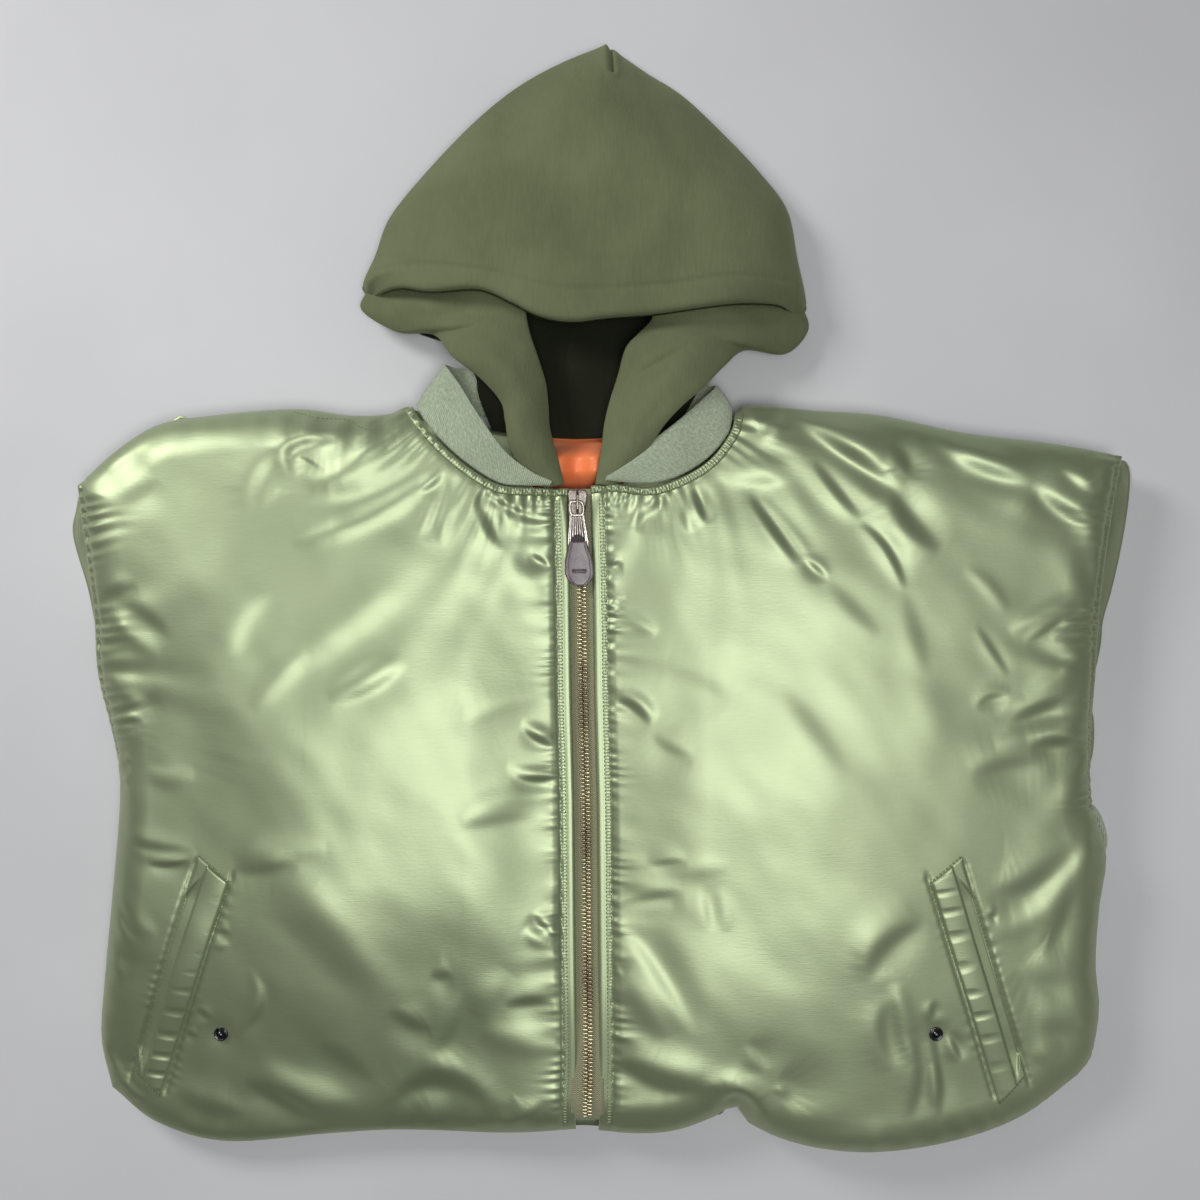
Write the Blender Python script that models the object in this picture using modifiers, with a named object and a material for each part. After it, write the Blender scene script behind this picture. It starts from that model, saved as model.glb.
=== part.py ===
"""Hooded, padded bomber jacket, zipped up and laid flat on its back with its sleeves folded behind it.

Metres, +Z up, the floor at z = 0. +Y points to the hood, +X to the right as seen from above. The tables
and helper functions work in millimetres, and the meshes are made in metres.
"""
import math

import bpy
import bmesh
import numpy as np

MM = 0.001
ORIGIN = (1.7, -4.4)    # the middle of the jacket in the tables' millimetres, x and y

# Padded cloth, in millimetres
RIM_WALL = 4.0          # thickness of a padded panel where it is sewn
FRONT_WALL = 10.0       # thickness of a front away from its seams
BACK_WALL = 8.0
SEAM_GAP = 0.3
LAYER_GAP = 2.4         # between layers that lie loosely on each other
ZIP_TOP = 48.0          # height of the fronts along the zip
SHOULDER_TOP = 54.0
LEFT_CROWN = 16.0       # how far each front swells above SHOULDER_TOP
RIGHT_CROWN = 14.0
EDGE_ROLL = 34.0        # breadth of the rounded outer edge of the fronts
SIDE_SEAM = 15.0        # heights of the line where front and back meet
SHOULDER_SEAM = 24.0
ARMHOLE_SEAM = 31.0

# Hidden layers
SLEEVE_THICKNESS = 25.0
SLEEVE_ROLL = 28.0
RIB_THICKNESS = 7.0
RIB_ROLL = 7.0
CUFF_THICKNESS = 12.0
CUFF_ROLL = 9.0

# Sweat fleece and rib
FLEECE_WALL = 4.0
COLLAR_WALL = 3.4
HOOD_RIM = 9.0
HOOD_CROWN = 64.0
HOOD_ROLL = 62.0
BRIM_FOLD = 1.4         # how much thicker the turned hem of the brim is

# Zip, snaps and pockets
TAPE_WIDTH = 12.5
TAPE_WALL = 1.0
TAPE_GAP = 0.9
TAPE_TOP = 77.0         # ends of the tapes along Y
TAPE_END = -408.0
CHAIN_WIDTH = 8.4
CHAIN_HEIGHT = 2.4
ZIP_OPENING = 8.8       # from the middle of the zip to the edge of either front
SNAP_RADIUS = 5.4
SNAP_HEIGHT = 3.6
WELT_WALL = 2.2
SLIDER_WIDTH = 15.0
SLIDER_LENGTH = 20.0
SLIDER_HEIGHT = 4.4
PULL_LENGTH = 35.0
PULL_WALL = 2.0
TAB_LENGTH = 34.0
TAB_RADIUS = 11.0
TAB_WALL = 2.6

# Outlines as seen from above: x, y
LEFT_SHOULDER = [(-146, 141), (-164, 136), (-194, 135), (-236, 140), (-301, 135), (-340, 128), (-370, 109),
                 (-402, 80)]
LEFT_SIDE = [(-402, 80), (-397, 40), (-389, -20), (-386, -67), (-375, -128), (-373, -164), (-379, -236),
             (-386, -304), (-389, -350), (-381, -388)]
LEFT_HEM = [(-381, -388), (-346, -416), (-292, -431), (-211, -425), (-156, -422), (-78, -424), (-20, -421)]
LEFT_NECK = [(-24, 76), (-50, 76), (-77, 78), (-100, 91), (-122, 110), (-139, 130), (-146, 141)]
RIGHT_SHOULDER = [(105, 137), (118, 143), (165, 139), (218, 135), (280, 122), (343, 114), (402, 103)]
RIGHT_SIDE = [(402, 103), (394, 58), (386, 0), (382, -48), (381, -125), (383, -168), (394, -205), (389, -245),
              (386, -290), (389, -325), (383, -362), (372, -378)]
RIGHT_HEM = [(372, -378), (329, -410), (277, -429), (214, -438), (160, -433), (120, -418), (104, -401),
             (92, -409), (60, -421), (30, -424), (-2, -422)]
RIGHT_NECK = [(-7, 78), (12, 79), (34, 76), (51, 79), (71, 88), (87, 100), (100, 118), (104, 130), (105, 137)]
ZIP_LINE = [(-16, 78), (-14, 0), (-13, -80), (-11, -160), (-10, -270), (-9, -360), (-10, -422)]
BACK_NECK = [(-146, 141), (-110, 131), (-60, 124), (-20, 122), (30, 124), (75, 130), (105, 137)]
LEFT_SLEEVE = [(-409, 84), (-417, 62), (-419, 42), (-407, 0), (-399, -38), (-386, -76), (-366, -104),
               (-340, -130), (-334, -170), (-323, -192), (-300, -238), (-210, -248), (-110, -224),
               (-38, -160), (-22, -80), (-36, -20), (-90, 36), (-170, 92), (-250, 116), (-310, 127),
               (-333, 139), (-344, 130), (-372, 109)]
RIGHT_SLEEVE = [(408, 104), (420, 100), (421, 76), (415, 36), (407, 0), (400, -25), (398, -46), (390, -85),
                (393, -104), (392, -130), (384, -153), (368, -166), (355, -189), (342, -211), (326, -236),
                (290, -246), (200, -248), (90, -220), (12, -160), (-2, -80), (12, -20), (64, 34),
                (130, 88), (230, 106), (330, 105), (386, 100)]
LEFT_CUFF = [(-337, -172), (-352, -178), (-364, -188), (-364, -202), (-347, -248), (-336, -254), (-320, -248),
             (-306, -242), (-318, -218), (-328, -195)]
RIGHT_CUFF = [(373, -169), (388, -169), (397, -177), (403, -196), (400, -212), (388, -236), (372, -246),
              (345, -243), (332, -237), (346, -212), (359, -190)]
HEM_RIB = [(-372, -352), (-330, -350), (0, -352), (330, -350), (364, -350), (366, -368), (325, -400),
           (277, -420), (214, -428), (150, -421), (104, -400), (60, -412), (-78, -415), (-211, -416),
           (-292, -421), (-340, -408), (-374, -384)]
BRIM_EDGE = [(-184, 227), (-153, 231), (-128, 226), (-92, 227), (-66, 216), (-46, 206), (-22, 202), (5, 205),
             (40, 208), (90, 215), (115, 218), (142, 219), (158, 213)]
CROWN_LEFT = [(-184, 227), (-187, 234), (-177, 262), (-165, 293), (-133, 332), (-98, 368), (-66, 394),
              (-32, 413), (5, 428)]
CROWN_RIGHT = [(158, 213), (162, 226), (156, 258), (148, 297), (128, 325), (98, 357), (65, 388), (38, 405),
               (5, 428)]
NECK_LINING = [(-62, 60), (-58, 100), (-44, 116), (-16, 117), (14, 116), (30, 100), (32, 60), (-16, 48)]

# Collar, from its left tip round the back of the neck to its right tip: the sewn edge, then the free edge
# sewn x, y, z, free x, y, z
COLLAR = [
    (-38, 79, 51.5, -36, 82, 52.5),
    (-57, 79, 51.5, -53, 90, 54),
    (-76, 81, 51.0, -73, 106, 56),
    (-98, 94, 50.0, -93, 134, 57),
    (-119, 112, 48.0, -106, 155, 55),
    (-135, 131, 45.0, -114, 166, 51),
    (-140, 142, 38.0, -118, 172, 42),
    (-133, 144, 26.0, -112, 172, 28),
    (-100, 137, 17.0, -92, 173, 15),
    (-15, 129, 14.0, -15, 172, 11),
    (66, 136, 17.0, 62, 166, 15),
    (95, 141, 26.0, 84, 158, 28),
    (101, 138, 38.0, 88, 155, 42),
    (98, 120, 46.0, 75, 142, 51),
    (85, 103, 50.0, 58, 127, 55),
    (69, 91, 51.0, 43, 115, 56),
    (50, 83, 51.5, 29, 101, 56),
    (28, 81, 51.5, 14, 91, 54),
    (4, 83, 51.5, 5, 86, 52.5),
]

# Side panels of the hood, from under the brim down to the zip
# outer x, y, z, inner x, y, z, rise of the fold between them
HOOD_LEFT = [
    (-180, 226, 17, -60, 242, 30, 9),
    (-181, 217, 17, -58, 224, 34, 11),
    (-156, 203, 21, -57, 211, 38, 13),
    (-129, 198, 30, -54, 196, 42, 14),
    (-112, 178, 48, -48, 178, 44, 13),
    (-92, 162, 53, -42, 158, 44, 12),
    (-75, 143, 56, -40, 140, 44, 10),
    (-70, 127, 57, -39, 124, 44, 9),
    (-65, 111, 57, -35, 108, 45, 8),
    (-49, 95, 57, -31, 93, 48, 5),
    (-37, 86, 56, -29, 84, 50, 2),
]
HOOD_RIGHT = [
    (147, 216, 12.5, 44, 236, 30, 9),
    (155, 203, 13, 41, 222, 34, 11),
    (146, 188, 20, 40, 208, 38, 13),
    (116, 184, 30, 30, 196, 42, 15),
    (94, 170, 48, 20, 184, 44, 14),
    (78, 153, 57, 14, 163, 44, 12),
    (62, 139, 60, 8, 144, 44, 11),
    (47, 125, 60, 4, 127, 44, 10),
    (33, 110, 60, 2, 110, 45, 8),
    (18, 98, 59, 0, 98, 48, 4),
    (6, 90, 57, -2, 88, 50, 2),
]

# Largest folds of the fronts: start x, y, bend x, y, end x, y, half width, height (a trough is below 0)
FOLDS = [
    (-120, 88, -170, 66, -232, 32, 9, 5),
    (-128, 74, -178, 50, -226, 14, 10, -4),
    (-115, 84, -118, 66, -126, 44, 7, -4),
    (-92, 74, -62, 62, -38, 40, 7, -4),
    (-226, 92, -196, 92, -166, 112, 9, 6),
    (-224, 108, -196, 112, -172, 124, 8, -6),
    (-308, 112, -334, 96, -364, 72, 10, -7),
    (-300, 96, -330, 74, -352, 50, 10, 4),
    (-296, -196, -330, -186, -362, -190, 9, 5),
    (-250, -340, -212, -372, -172, -392, 9, -5),
    (-120, -40, -150, -110, -170, -180, 16, -4),
    (-60, -150, -100, -200, -120, -260, 14, 4),
    (136, 130, 200, 92, 254, 30, 9, -8),
    (150, 136, 214, 104, 268, 44, 9, 6),
    (192, 52, 216, 22, 232, -24, 7, -6),
    (112, 72, 130, 46, 148, 24, 7, -5),
    (240, 116, 304, 94, 372, 42, 10, -7),
    (262, 98, 316, 66, 366, 22, 10, 5),
    (362, -14, 336, -22, 306, -40, 8, 5),
    (364, -44, 338, -52, 306, -76, 8, -5),
    (368, -176, 336, -200, 298, -238, 10, -7),
    (366, -206, 338, -232, 296, -262, 10, 5),
    (28, -344, 60, -376, 106, -372, 8, -7),
    (26, -362, 50, -390, 96, -394, 8, 5),
    (211, -296, 208, -330, 212, -368, 9, 4),
    (60, -60, 110, -130, 120, -220, 16, -4),
]

# Pocket welts: top outer, top inner, bottom inner and bottom outer corner
LEFT_WELT = [(-302, -200), (-278, -220), (-340, -390), (-357, -372)]
RIGHT_WELT = [(272, -201), (248, -221), (304, -392), (324, -371)]
LEFT_SNAP = (-289, -339)
RIGHT_SNAP = (254, -336)

# Zip pull, hinged on the bridge of the slider
HINGE_X = -18.0
HINGE_Y = 66.0
HINGE_Z = 53.4
BRIDGE_RADIUS = 0.9
BRIDGE_RISE = 3.4       # of the bridge's middle line above the hinge
PULL_SLOPE = 4.5        # degrees
PULL_LEAN = -0.045      # sideways share of its length
EYE_HALF_WIDTH = 2.8
EYE_REACH = 11.0

# Grid steps: how finely each piece is cut
FRONT_ACROSS = 22
FRONT_ALONG = 29


def clear_scene():
    """Remove whatever the opened file holds."""
    for item in list(bpy.data.objects):
        bpy.data.objects.remove(item, do_unlink=True)


def smooth(t):
    """0 below 0, 1 above 1 and an even S between."""
    t = np.clip(t, 0.0, 1.0)
    return t * t * (3.0 - 2.0 * t)


def roll(t):
    """Height of a quarter circle, 0 at its edge and 1 from t = 1 on."""
    t = np.clip(t, 0.0, 1.0)
    return np.sqrt(1.0 - (1.0 - t) ** 2)


def through(rows, places, closed=False):
    """Rows of numbers read at places 0 to 1 along a Catmull-Rom curve, by its length in plan."""
    rows = np.asarray(rows, float)
    if closed:
        padded = np.vstack([rows[-1], rows, rows[0], rows[1]])
    else:
        padded = np.vstack([2 * rows[0] - rows[1], rows, 2 * rows[-1] - rows[-2]])
    t = np.linspace(0.0, 1.0, 13)[:-1, None]
    spans = []
    for i in range(len(padded) - 3):
        a, b, c, d = padded[i:i + 4]
        spans.append(0.5 * (2 * b + (c - a) * t + (2 * a - 5 * b + 4 * c - d) * t ** 2
                            + (3 * b - a - 3 * c + d) * t ** 3))
    fine = np.vstack(spans + [padded[-2][None]])
    walked = np.concatenate([[0.0], np.cumsum(np.linalg.norm(np.diff(fine[:, :2], axis=0), axis=1))])
    wanted = np.asarray(places, float) * walked[-1]
    return np.stack([np.interp(wanted, walked, column) for column in fine.T], axis=-1)


def steps(count, near=0.0, far=0.0):
    """0 to 1 in count steps, drawn together towards either end by a share from 0 (even) to 1."""
    t = np.linspace(0.0, 1.0, count + 1)
    pull_near = 1.0 - np.cos(t * math.pi / 2)
    pull_far = np.sin(t * math.pi / 2)
    return (1.0 - near - far) * t + near * pull_near + far * pull_far


def distance(points, path):
    """Distance in plan from each point to a path of straight runs, and how far along it that is, 0 to 1."""
    path = np.asarray(path, float)
    start, run = path[:-1], np.diff(path, axis=0)
    offset = points[..., None, :2] - start
    share = np.clip((offset * run).sum(-1) / ((run ** 2).sum(-1) + 1e-9), 0.0, 1.0)
    apart = np.linalg.norm(offset - share[..., None] * run, axis=-1)
    nearest = apart.argmin(-1)
    along = (nearest + np.take_along_axis(share, nearest[..., None], -1)[..., 0]) / len(run)
    return apart.min(-1), along


def inside(points, loop):
    """Whether each point lies within a closed loop, by counting the sides that a ray crosses."""
    x, y = points[..., 0, None], points[..., 1, None]
    ax, ay = loop[:, 0], loop[:, 1]
    bx, by = np.roll(ax, -1), np.roll(ay, -1)
    level = np.where(by == ay, 1e-9, by - ay)
    crosses = ((ay > y) != (by > y)) & (x < ax + (y - ay) * (bx - ax) / level)
    return crosses.sum(-1) % 2 == 1


def loop_of(rows, count=120):
    return through(rows, np.linspace(0.0, 1.0, count, endpoint=False), closed=True)


def beyond(points, rows):
    """Distance outside a closed outline, below 0 within it."""
    loop = loop_of(rows)
    apart, _ = distance(points, np.vstack([loop, loop[:1]]))
    return np.where(inside(points, loop), -apart, apart)


def outer_edges():
    """The body's outer outline, without the neck: left shoulder round the hem to the right shoulder."""
    places = np.linspace(0.0, 1.0, 40)
    runs = [LEFT_SHOULDER, LEFT_SIDE, LEFT_HEM, RIGHT_HEM[::-1], RIGHT_SIDE[::-1], RIGHT_SHOULDER[::-1]]
    return np.vstack([through(run, places) for run in runs])


OUTER_EDGES = outer_edges()


def zip_x(y):
    line = np.asarray(ZIP_LINE[::-1], float)
    return np.interp(y, line[:, 1], line[:, 0])


def seam_height(p):
    """Height of the line where front and back are sewn: low at the sides, high at the armholes."""
    x, y = np.abs(p[..., 0]), p[..., 1]
    shoulder = smooth((y + 150) / 90)
    armhole = smooth((x - 320) / 60) * smooth((y + 110) / 60)
    return SIDE_SEAM + (SHOULDER_SEAM - SIDE_SEAM) * shoulder + (ARMHOLE_SEAM - SHOULDER_SEAM) * armhole


def fold_relief(p, rows):
    """Soft ridges and troughs: a bell across each bent line, fading out at both its ends."""
    total = np.zeros(p.shape[:-1])
    t = np.linspace(0.0, 1.0, 9)[:, None]
    for x0, y0, x1, y1, x2, y2, width, height in rows:
        a, b, c = np.array([x0, y0]), np.array([x1, y1]), np.array([x2, y2])
        apart, along = distance(p, a * (1 - t) ** 2 + 2 * b * t * (1 - t) + c * t ** 2)
        total += height * np.exp(-(apart / width) ** 2) * np.sqrt(np.sin(np.pi * np.clip(along, 0.0, 1.0)))
    return total


def front_top(p):
    """Outer surface of the fronts: a valley along the zip, a swell on each side and a rounded outer edge."""
    x, y = p[..., 0], p[..., 1]
    edge, _ = distance(p, OUTER_EDGES)
    off_zip = np.abs(x - zip_x(y))
    swell = (LEFT_CROWN * np.exp(-((x + 205) / 140) ** 2 - ((y + 150) / 220) ** 2)
             + RIGHT_CROWN * np.exp(-((x - 185) / 140) ** 2 - ((y + 150) / 230) ** 2))
    level = ZIP_TOP + smooth((off_zip - 8) / 85) * (SHOULDER_TOP - ZIP_TOP + swell)
    level = level + fold_relief(p, FOLDS) * smooth(edge / 18) * smooth((off_zip - 12) / 16)
    foot = seam_height(p) + RIM_WALL
    return foot + (level - foot) * roll(edge / EDGE_ROLL)


def back_under(p):
    """Underside of the back: it lies over the folded sleeves and the hem rib, else on the floor."""
    edge, _ = distance(p, OUTER_EDGES)
    sleeve = np.minimum(beyond(p, LEFT_SLEEVE), beyond(p, RIGHT_SLEEVE))
    rib = beyond(p, HEM_RIB) - 6
    cuff = np.minimum(beyond(p, LEFT_CUFF), beyond(p, RIGHT_CUFF)) - 13
    over_sleeve = (SLEEVE_THICKNESS + LAYER_GAP) * (1 - smooth(sleeve / 40))
    over_rib = (RIB_THICKNESS + LAYER_GAP) * (1 - smooth(rib / 24))
    over_cuff = (CUFF_THICKNESS + LAYER_GAP) * (1 - smooth(cuff / 24)) * smooth((edge + 10) / 24)
    turned_up = (seam_height(p) - RIM_WALL) * (1 - roll(edge / 16))
    ceiling = seam_height(p) - RIM_WALL + SLEEVE_THICKNESS * smooth(edge / EDGE_ROLL)
    return np.maximum.reduce([np.minimum(over_sleeve, ceiling), over_rib, over_cuff, turned_up])


def back_top(p):
    edge, _ = distance(p, OUTER_EDGES)
    wall = RIM_WALL - 2 * SEAM_GAP + (BACK_WALL - RIM_WALL) * smooth(edge / 30)
    return back_under(p) + wall


def front_under(p):
    edge, _ = distance(p, OUTER_EDGES)
    off_zip = np.abs(p[..., 0] - zip_x(p[..., 1]))
    wall = RIM_WALL + (FRONT_WALL - RIM_WALL) * smooth(edge / 26) * smooth((off_zip - 18) / 24)
    return np.maximum(front_top(p) - wall, back_top(p) + SEAM_GAP + LAYER_GAP * smooth(edge / 5))


def patch(bottom, top, left, right):
    """Coons patch: a grid of plan points filling four edges that meet at their ends."""
    v = np.linspace(0.0, 1.0, len(left))[:, None, None]
    u = np.linspace(0.0, 1.0, len(bottom))[None, :, None]
    across = (1 - v) * bottom[None] + v * top[None]
    along = (1 - u) * left[:, None] + u * right[:, None]
    corners = ((1 - u) * (1 - v) * bottom[0] + u * (1 - v) * bottom[-1]
               + (1 - u) * v * top[0] + u * v * top[-1])
    return across + along - corners


def lifted(plan, height):
    return np.concatenate([plan[..., :2], np.broadcast_to(height, plan.shape[:-1])[..., None]], axis=-1)


def normals(grid):
    """Upward unit normals of a grid of points."""
    across = np.gradient(grid, axis=1)
    along = np.gradient(grid, axis=0)
    normal = np.cross(across, along)
    normal /= np.linalg.norm(normal, axis=-1, keepdims=True)
    return normal * np.sign(normal[..., 2:3].mean())


def material(name, colour, roughness, metallic=0.0):
    made = bpy.data.materials.get(name)
    if made is None:
        made = bpy.data.materials.new(name)
        made.use_nodes = True
        shader = made.node_tree.nodes["Principled BSDF"]
        shader.inputs["Base Color"].default_value = (*colour, 1.0)
        shader.inputs["Roughness"].default_value = roughness
        shader.inputs["Metallic"].default_value = metallic
    return made


def nylon():
    return material("sage_nylon", (0.36, 0.44, 0.25), 0.45)


def rib_knit():
    return material("rib_knit", (0.36, 0.44, 0.32), 0.85)


def fleece():
    return material("olive_fleece", (0.13, 0.16, 0.08), 0.95)


def orange_lining():
    return material("orange_lining", (0.80, 0.18, 0.04), 0.5)


def woven_tape():
    return material("woven_tape", (0.20, 0.20, 0.12), 0.8)


def aged_brass():
    return material("aged_brass", (0.62, 0.54, 0.36), 0.4, 1.0)


def antique_metal():
    return material("antique_metal", (0.32, 0.28, 0.25), 0.4, 1.0)


def gunmetal():
    return material("gunmetal", (0.08, 0.08, 0.09), 0.3, 1.0)


def leather():
    return material("leather", (0.20, 0.15, 0.17), 0.5)


def add_object(name, bm, finish):
    """Turn a bmesh in millimetres into a named object in metres, with its faces outward."""
    bmesh.ops.recalc_face_normals(bm, faces=bm.faces)
    bmesh.ops.translate(bm, verts=bm.verts, vec=(-ORIGIN[0], -ORIGIN[1], 0.0))
    bmesh.ops.scale(bm, vec=(MM, MM, MM), verts=bm.verts)
    mesh = bpy.data.meshes.new(name)
    bm.to_mesh(mesh)
    bm.free()
    mesh.materials.append(finish)
    mesh.shade_smooth()
    made = bpy.data.objects.new(name, mesh)
    bpy.data.collections["bomber_jacket"].objects.link(made)
    return made


def wall_between(name, upper, lower, finish):
    """A closed wall between two grids of the same size, joined round their edges."""
    rows, columns = upper.shape[:2]
    bm = bmesh.new()
    sheets = [[[bm.verts.new(tuple(point)) for point in row] for row in grid] for grid in (upper, lower)]
    for sheet in sheets:
        for j in range(rows - 1):
            for i in range(columns - 1):
                a, b = sheet[j][i], sheet[j][i + 1]
                c, d = sheet[j + 1][i + 1], sheet[j + 1][i]
                bm.faces.new((a, b, c))
                bm.faces.new((a, c, d))
    rim = ([(0, i) for i in range(columns)] + [(j, columns - 1) for j in range(1, rows)]
           + [(rows - 1, i) for i in range(columns - 2, -1, -1)] + [(j, 0) for j in range(rows - 2, 0, -1)])
    for (j, i), (m, k) in zip(rim, rim[1:] + rim[:1]):
        bm.faces.new((sheets[0][j][i], sheets[0][m][k], sheets[1][m][k], sheets[1][j][i]))
    return add_object(name, bm, finish)


def flat_pad(name, rows, rings, top, finish, count=44):
    """A pad filling an outline, flat below, its height given by a function of the plan points."""
    loop = loop_of(rows, count)
    centre = loop.mean(axis=0)
    bm = bmesh.new()
    crown = [centre + (loop - centre) * share for share in rings]
    sheets = []
    for lower in (False, True):
        heights = [np.zeros(count) if lower else top(ring) for ring in crown]
        if lower:
            heights[-1] = np.minimum(top(crown[-1]), 1.0)
        sheet = [[bm.verts.new((x, y, z)) for (x, y), z in zip(ring, height)]
                 for ring, height in zip(crown, heights)]
        middle = centre[None]
        hub = bm.verts.new((*centre, 0.0 if lower else float(top(middle)[0])))
        for k in range(count):
            n = (k + 1) % count
            bm.faces.new((hub, sheet[0][k], sheet[0][n]))
            for inner, outer in zip(sheet, sheet[1:]):
                bm.faces.new((inner[k], outer[k], outer[n]))
                bm.faces.new((inner[k], outer[n], inner[n]))
        sheets.append(sheet)
    for k in range(count):
        n = (k + 1) % count
        bm.faces.new((sheets[0][-1][k], sheets[0][-1][n], sheets[1][-1][n], sheets[1][-1][k]))
    return add_object(name, bm, finish)


def front(name, hem, side, neck, shoulder, side_sign):
    """A front panel, from its zip edge to the side and armhole, and from the hem to neck and shoulder."""
    across = steps(FRONT_ACROSS, far=0.5)
    along = steps(FRONT_ALONG, near=0.25, far=0.25)
    zip_rows = np.array([(zip_x(y) + side_sign * ZIP_OPENING, y) for y in
                         np.linspace(hem[0][1], neck[0][1], 12)])
    hem_rows = np.vstack([zip_rows[:1], hem[1:]])
    top_rows = np.vstack([zip_rows[-1:], neck[1:], shoulder[1:]])
    plan = patch(through(hem_rows, across), through(top_rows, across),
                 through(zip_rows, along), through(side[::-1], along))
    upper = lifted(plan, front_top(plan))
    lower = lifted(plan, front_under(plan))
    return wall_between(name, upper, lower, nylon())


def build_fronts():
    front("front_left", LEFT_HEM[::-1], LEFT_SIDE, LEFT_NECK, LEFT_SHOULDER, -1)
    front("front_right", RIGHT_HEM[::-1], RIGHT_SIDE, RIGHT_NECK, RIGHT_SHOULDER, 1)


def build_back():
    across, along = steps(22, 0.3, 0.3), steps(15, 0.25, 0.3)
    hem = LEFT_HEM + RIGHT_HEM[::-1][1:]
    top = LEFT_SHOULDER[::-1] + BACK_NECK[1:] + RIGHT_SHOULDER[1:]
    plan = patch(through(hem, across), through(top, across),
                 through(LEFT_SIDE[::-1], along), through(RIGHT_SIDE[::-1], along))
    wall_between("back", lifted(plan, back_top(plan)), lifted(plan, back_under(plan)), nylon())


def under_back(rows, thickness, rounding):
    """Height of a piece that lies under the back: rounded at its own outline and clear of the back."""
    def top(ring):
        own = thickness * roll(-beyond(ring, rows) / rounding)
        return np.maximum(np.minimum(own, back_under(ring) - 1.8 * LAYER_GAP), 1.0)
    return top


def build_sleeves():
    rings = (0.4, 0.68, 0.84, 0.93, 1.0)
    for name, rows in (("sleeve_left", LEFT_SLEEVE), ("sleeve_right", RIGHT_SLEEVE)):
        flat_pad(name, rows, rings, under_back(rows, SLEEVE_THICKNESS, SLEEVE_ROLL), nylon())


def build_ribs():
    for name, rows in (("cuff_left", LEFT_CUFF), ("cuff_right", RIGHT_CUFF)):
        flat_pad(name, rows, (0.6, 0.88, 1.0), under_back(rows, CUFF_THICKNESS, CUFF_ROLL), rib_knit(), 24)
    across = steps(20)
    upper = through(HEM_RIB[:5], across)
    lower = through(HEM_RIB[:4:-1], across)
    down = steps(5, 0.4, 0.4)[:, None, None]
    plan = (1 - down) * lower[None] + down * upper[None]
    top = RIB_THICKNESS * roll(-beyond(plan, HEM_RIB) / RIB_ROLL)
    wall_between("hem_rib", lifted(plan, np.maximum(top, 1.0)), lifted(plan, 0.0), rib_knit())


def build_collar():
    """The knit collar: a band from tip to tip, folded down behind at both sides of the neck."""
    rows = through(COLLAR, steps(42))
    width = np.array([0.0, 0.12, 0.5, 0.88, 1.0])[:, None]
    swell = np.array([0.0, 0.7, 1.0, 0.7, 0.0])[:, None]
    middle = rows[:, None, :3] * (1 - width) + rows[:, None, 3:] * width
    along = np.gradient(middle, axis=0)
    outward = np.cross(rows[:, None, 3:] - rows[:, None, :3], along)
    outward /= np.linalg.norm(outward, axis=-1, keepdims=True)
    half = COLLAR_WALL / 2 * (0.35 + 0.65 * swell)
    wall_between("collar_rib", middle + outward * half, middle - outward * half, rib_knit())


def hood_crown_top(plan):
    """The crown's outer surface: rounded up from its rim, highest above the brim."""
    rim = np.vstack([through(CROWN_LEFT, steps(40)), through(CROWN_RIGHT, steps(40))[::-1]])
    edge, _ = distance(plan, rim)
    x, y = plan[..., 0], plan[..., 1]
    height = HOOD_CROWN - 10 * smooth((y - 280) / 140) - 6 * smooth((np.abs(x + 12) - 70) / 90)
    return HOOD_RIM + (height - HOOD_RIM) * roll(edge / HOOD_ROLL)


def build_hood_crown():
    across, along = steps(18, 0.25, 0.25), steps(13, 0.0, 0.4)
    apex = np.linspace(0, 1, len(across))[:, None]
    tip = through(CROWN_LEFT, [0.93])[0] * (1 - apex) + through(CROWN_RIGHT, [0.93])[0] * apex
    tip[:, 1] += 9.5 * np.sin(np.pi * apex[:, 0])
    plan = patch(through(BRIM_EDGE, across), tip,
                 through(CROWN_LEFT, along * 0.93), through(CROWN_RIGHT, along * 0.93))
    upper = lifted(plan, hood_crown_top(plan))
    thick = FLEECE_WALL + BRIM_FOLD * (1 - smooth(np.arange(len(along)) / 2.5))[:, None, None]
    lower = upper - normals(upper) * thick
    lower[..., 2] = np.maximum(lower[..., 2], HOOD_RIM - 1.5)
    wall_between("hood_crown", upper, lower, fleece())


def hood_back_under(plan):
    """The hood's back panel lies on the floor and rises over the collar at the neck."""
    x, y = plan[..., 0], plan[..., 1]
    over_collar = 14 * smooth((np.abs(x + 15) - 55) / 45) * (1 - smooth((y - 172) / 22))
    return 17 * (1 - smooth((y - 168) / 50)) + over_collar


def build_hood_back():
    across, along = steps(12), steps(12)
    left = [(-84, 124), (-94, 150), (-98, 172), (-118, 194), (-150, 205), (-182, 227), (-174, 260), (-161, 291),
            (-130, 329), (-95, 364), (-63, 389), (-30, 408)]
    right = [(60, 126), (74, 150), (84, 168), (112, 192), (150, 207), (159, 226), (152, 258), (144, 295),
             (125, 321), (95, 353), (62, 383), (36, 400)]
    bottom = np.array([left[0], (-15, 118), right[0]])
    top = np.array([left[-1], (4, 422), right[-1]])
    plan = patch(through(bottom, across), through(top, across), through(left, along), through(right, along))
    under = hood_back_under(plan)
    wall_between("hood_back", lifted(plan, under + FLEECE_WALL), lifted(plan, under), fleece())


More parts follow.
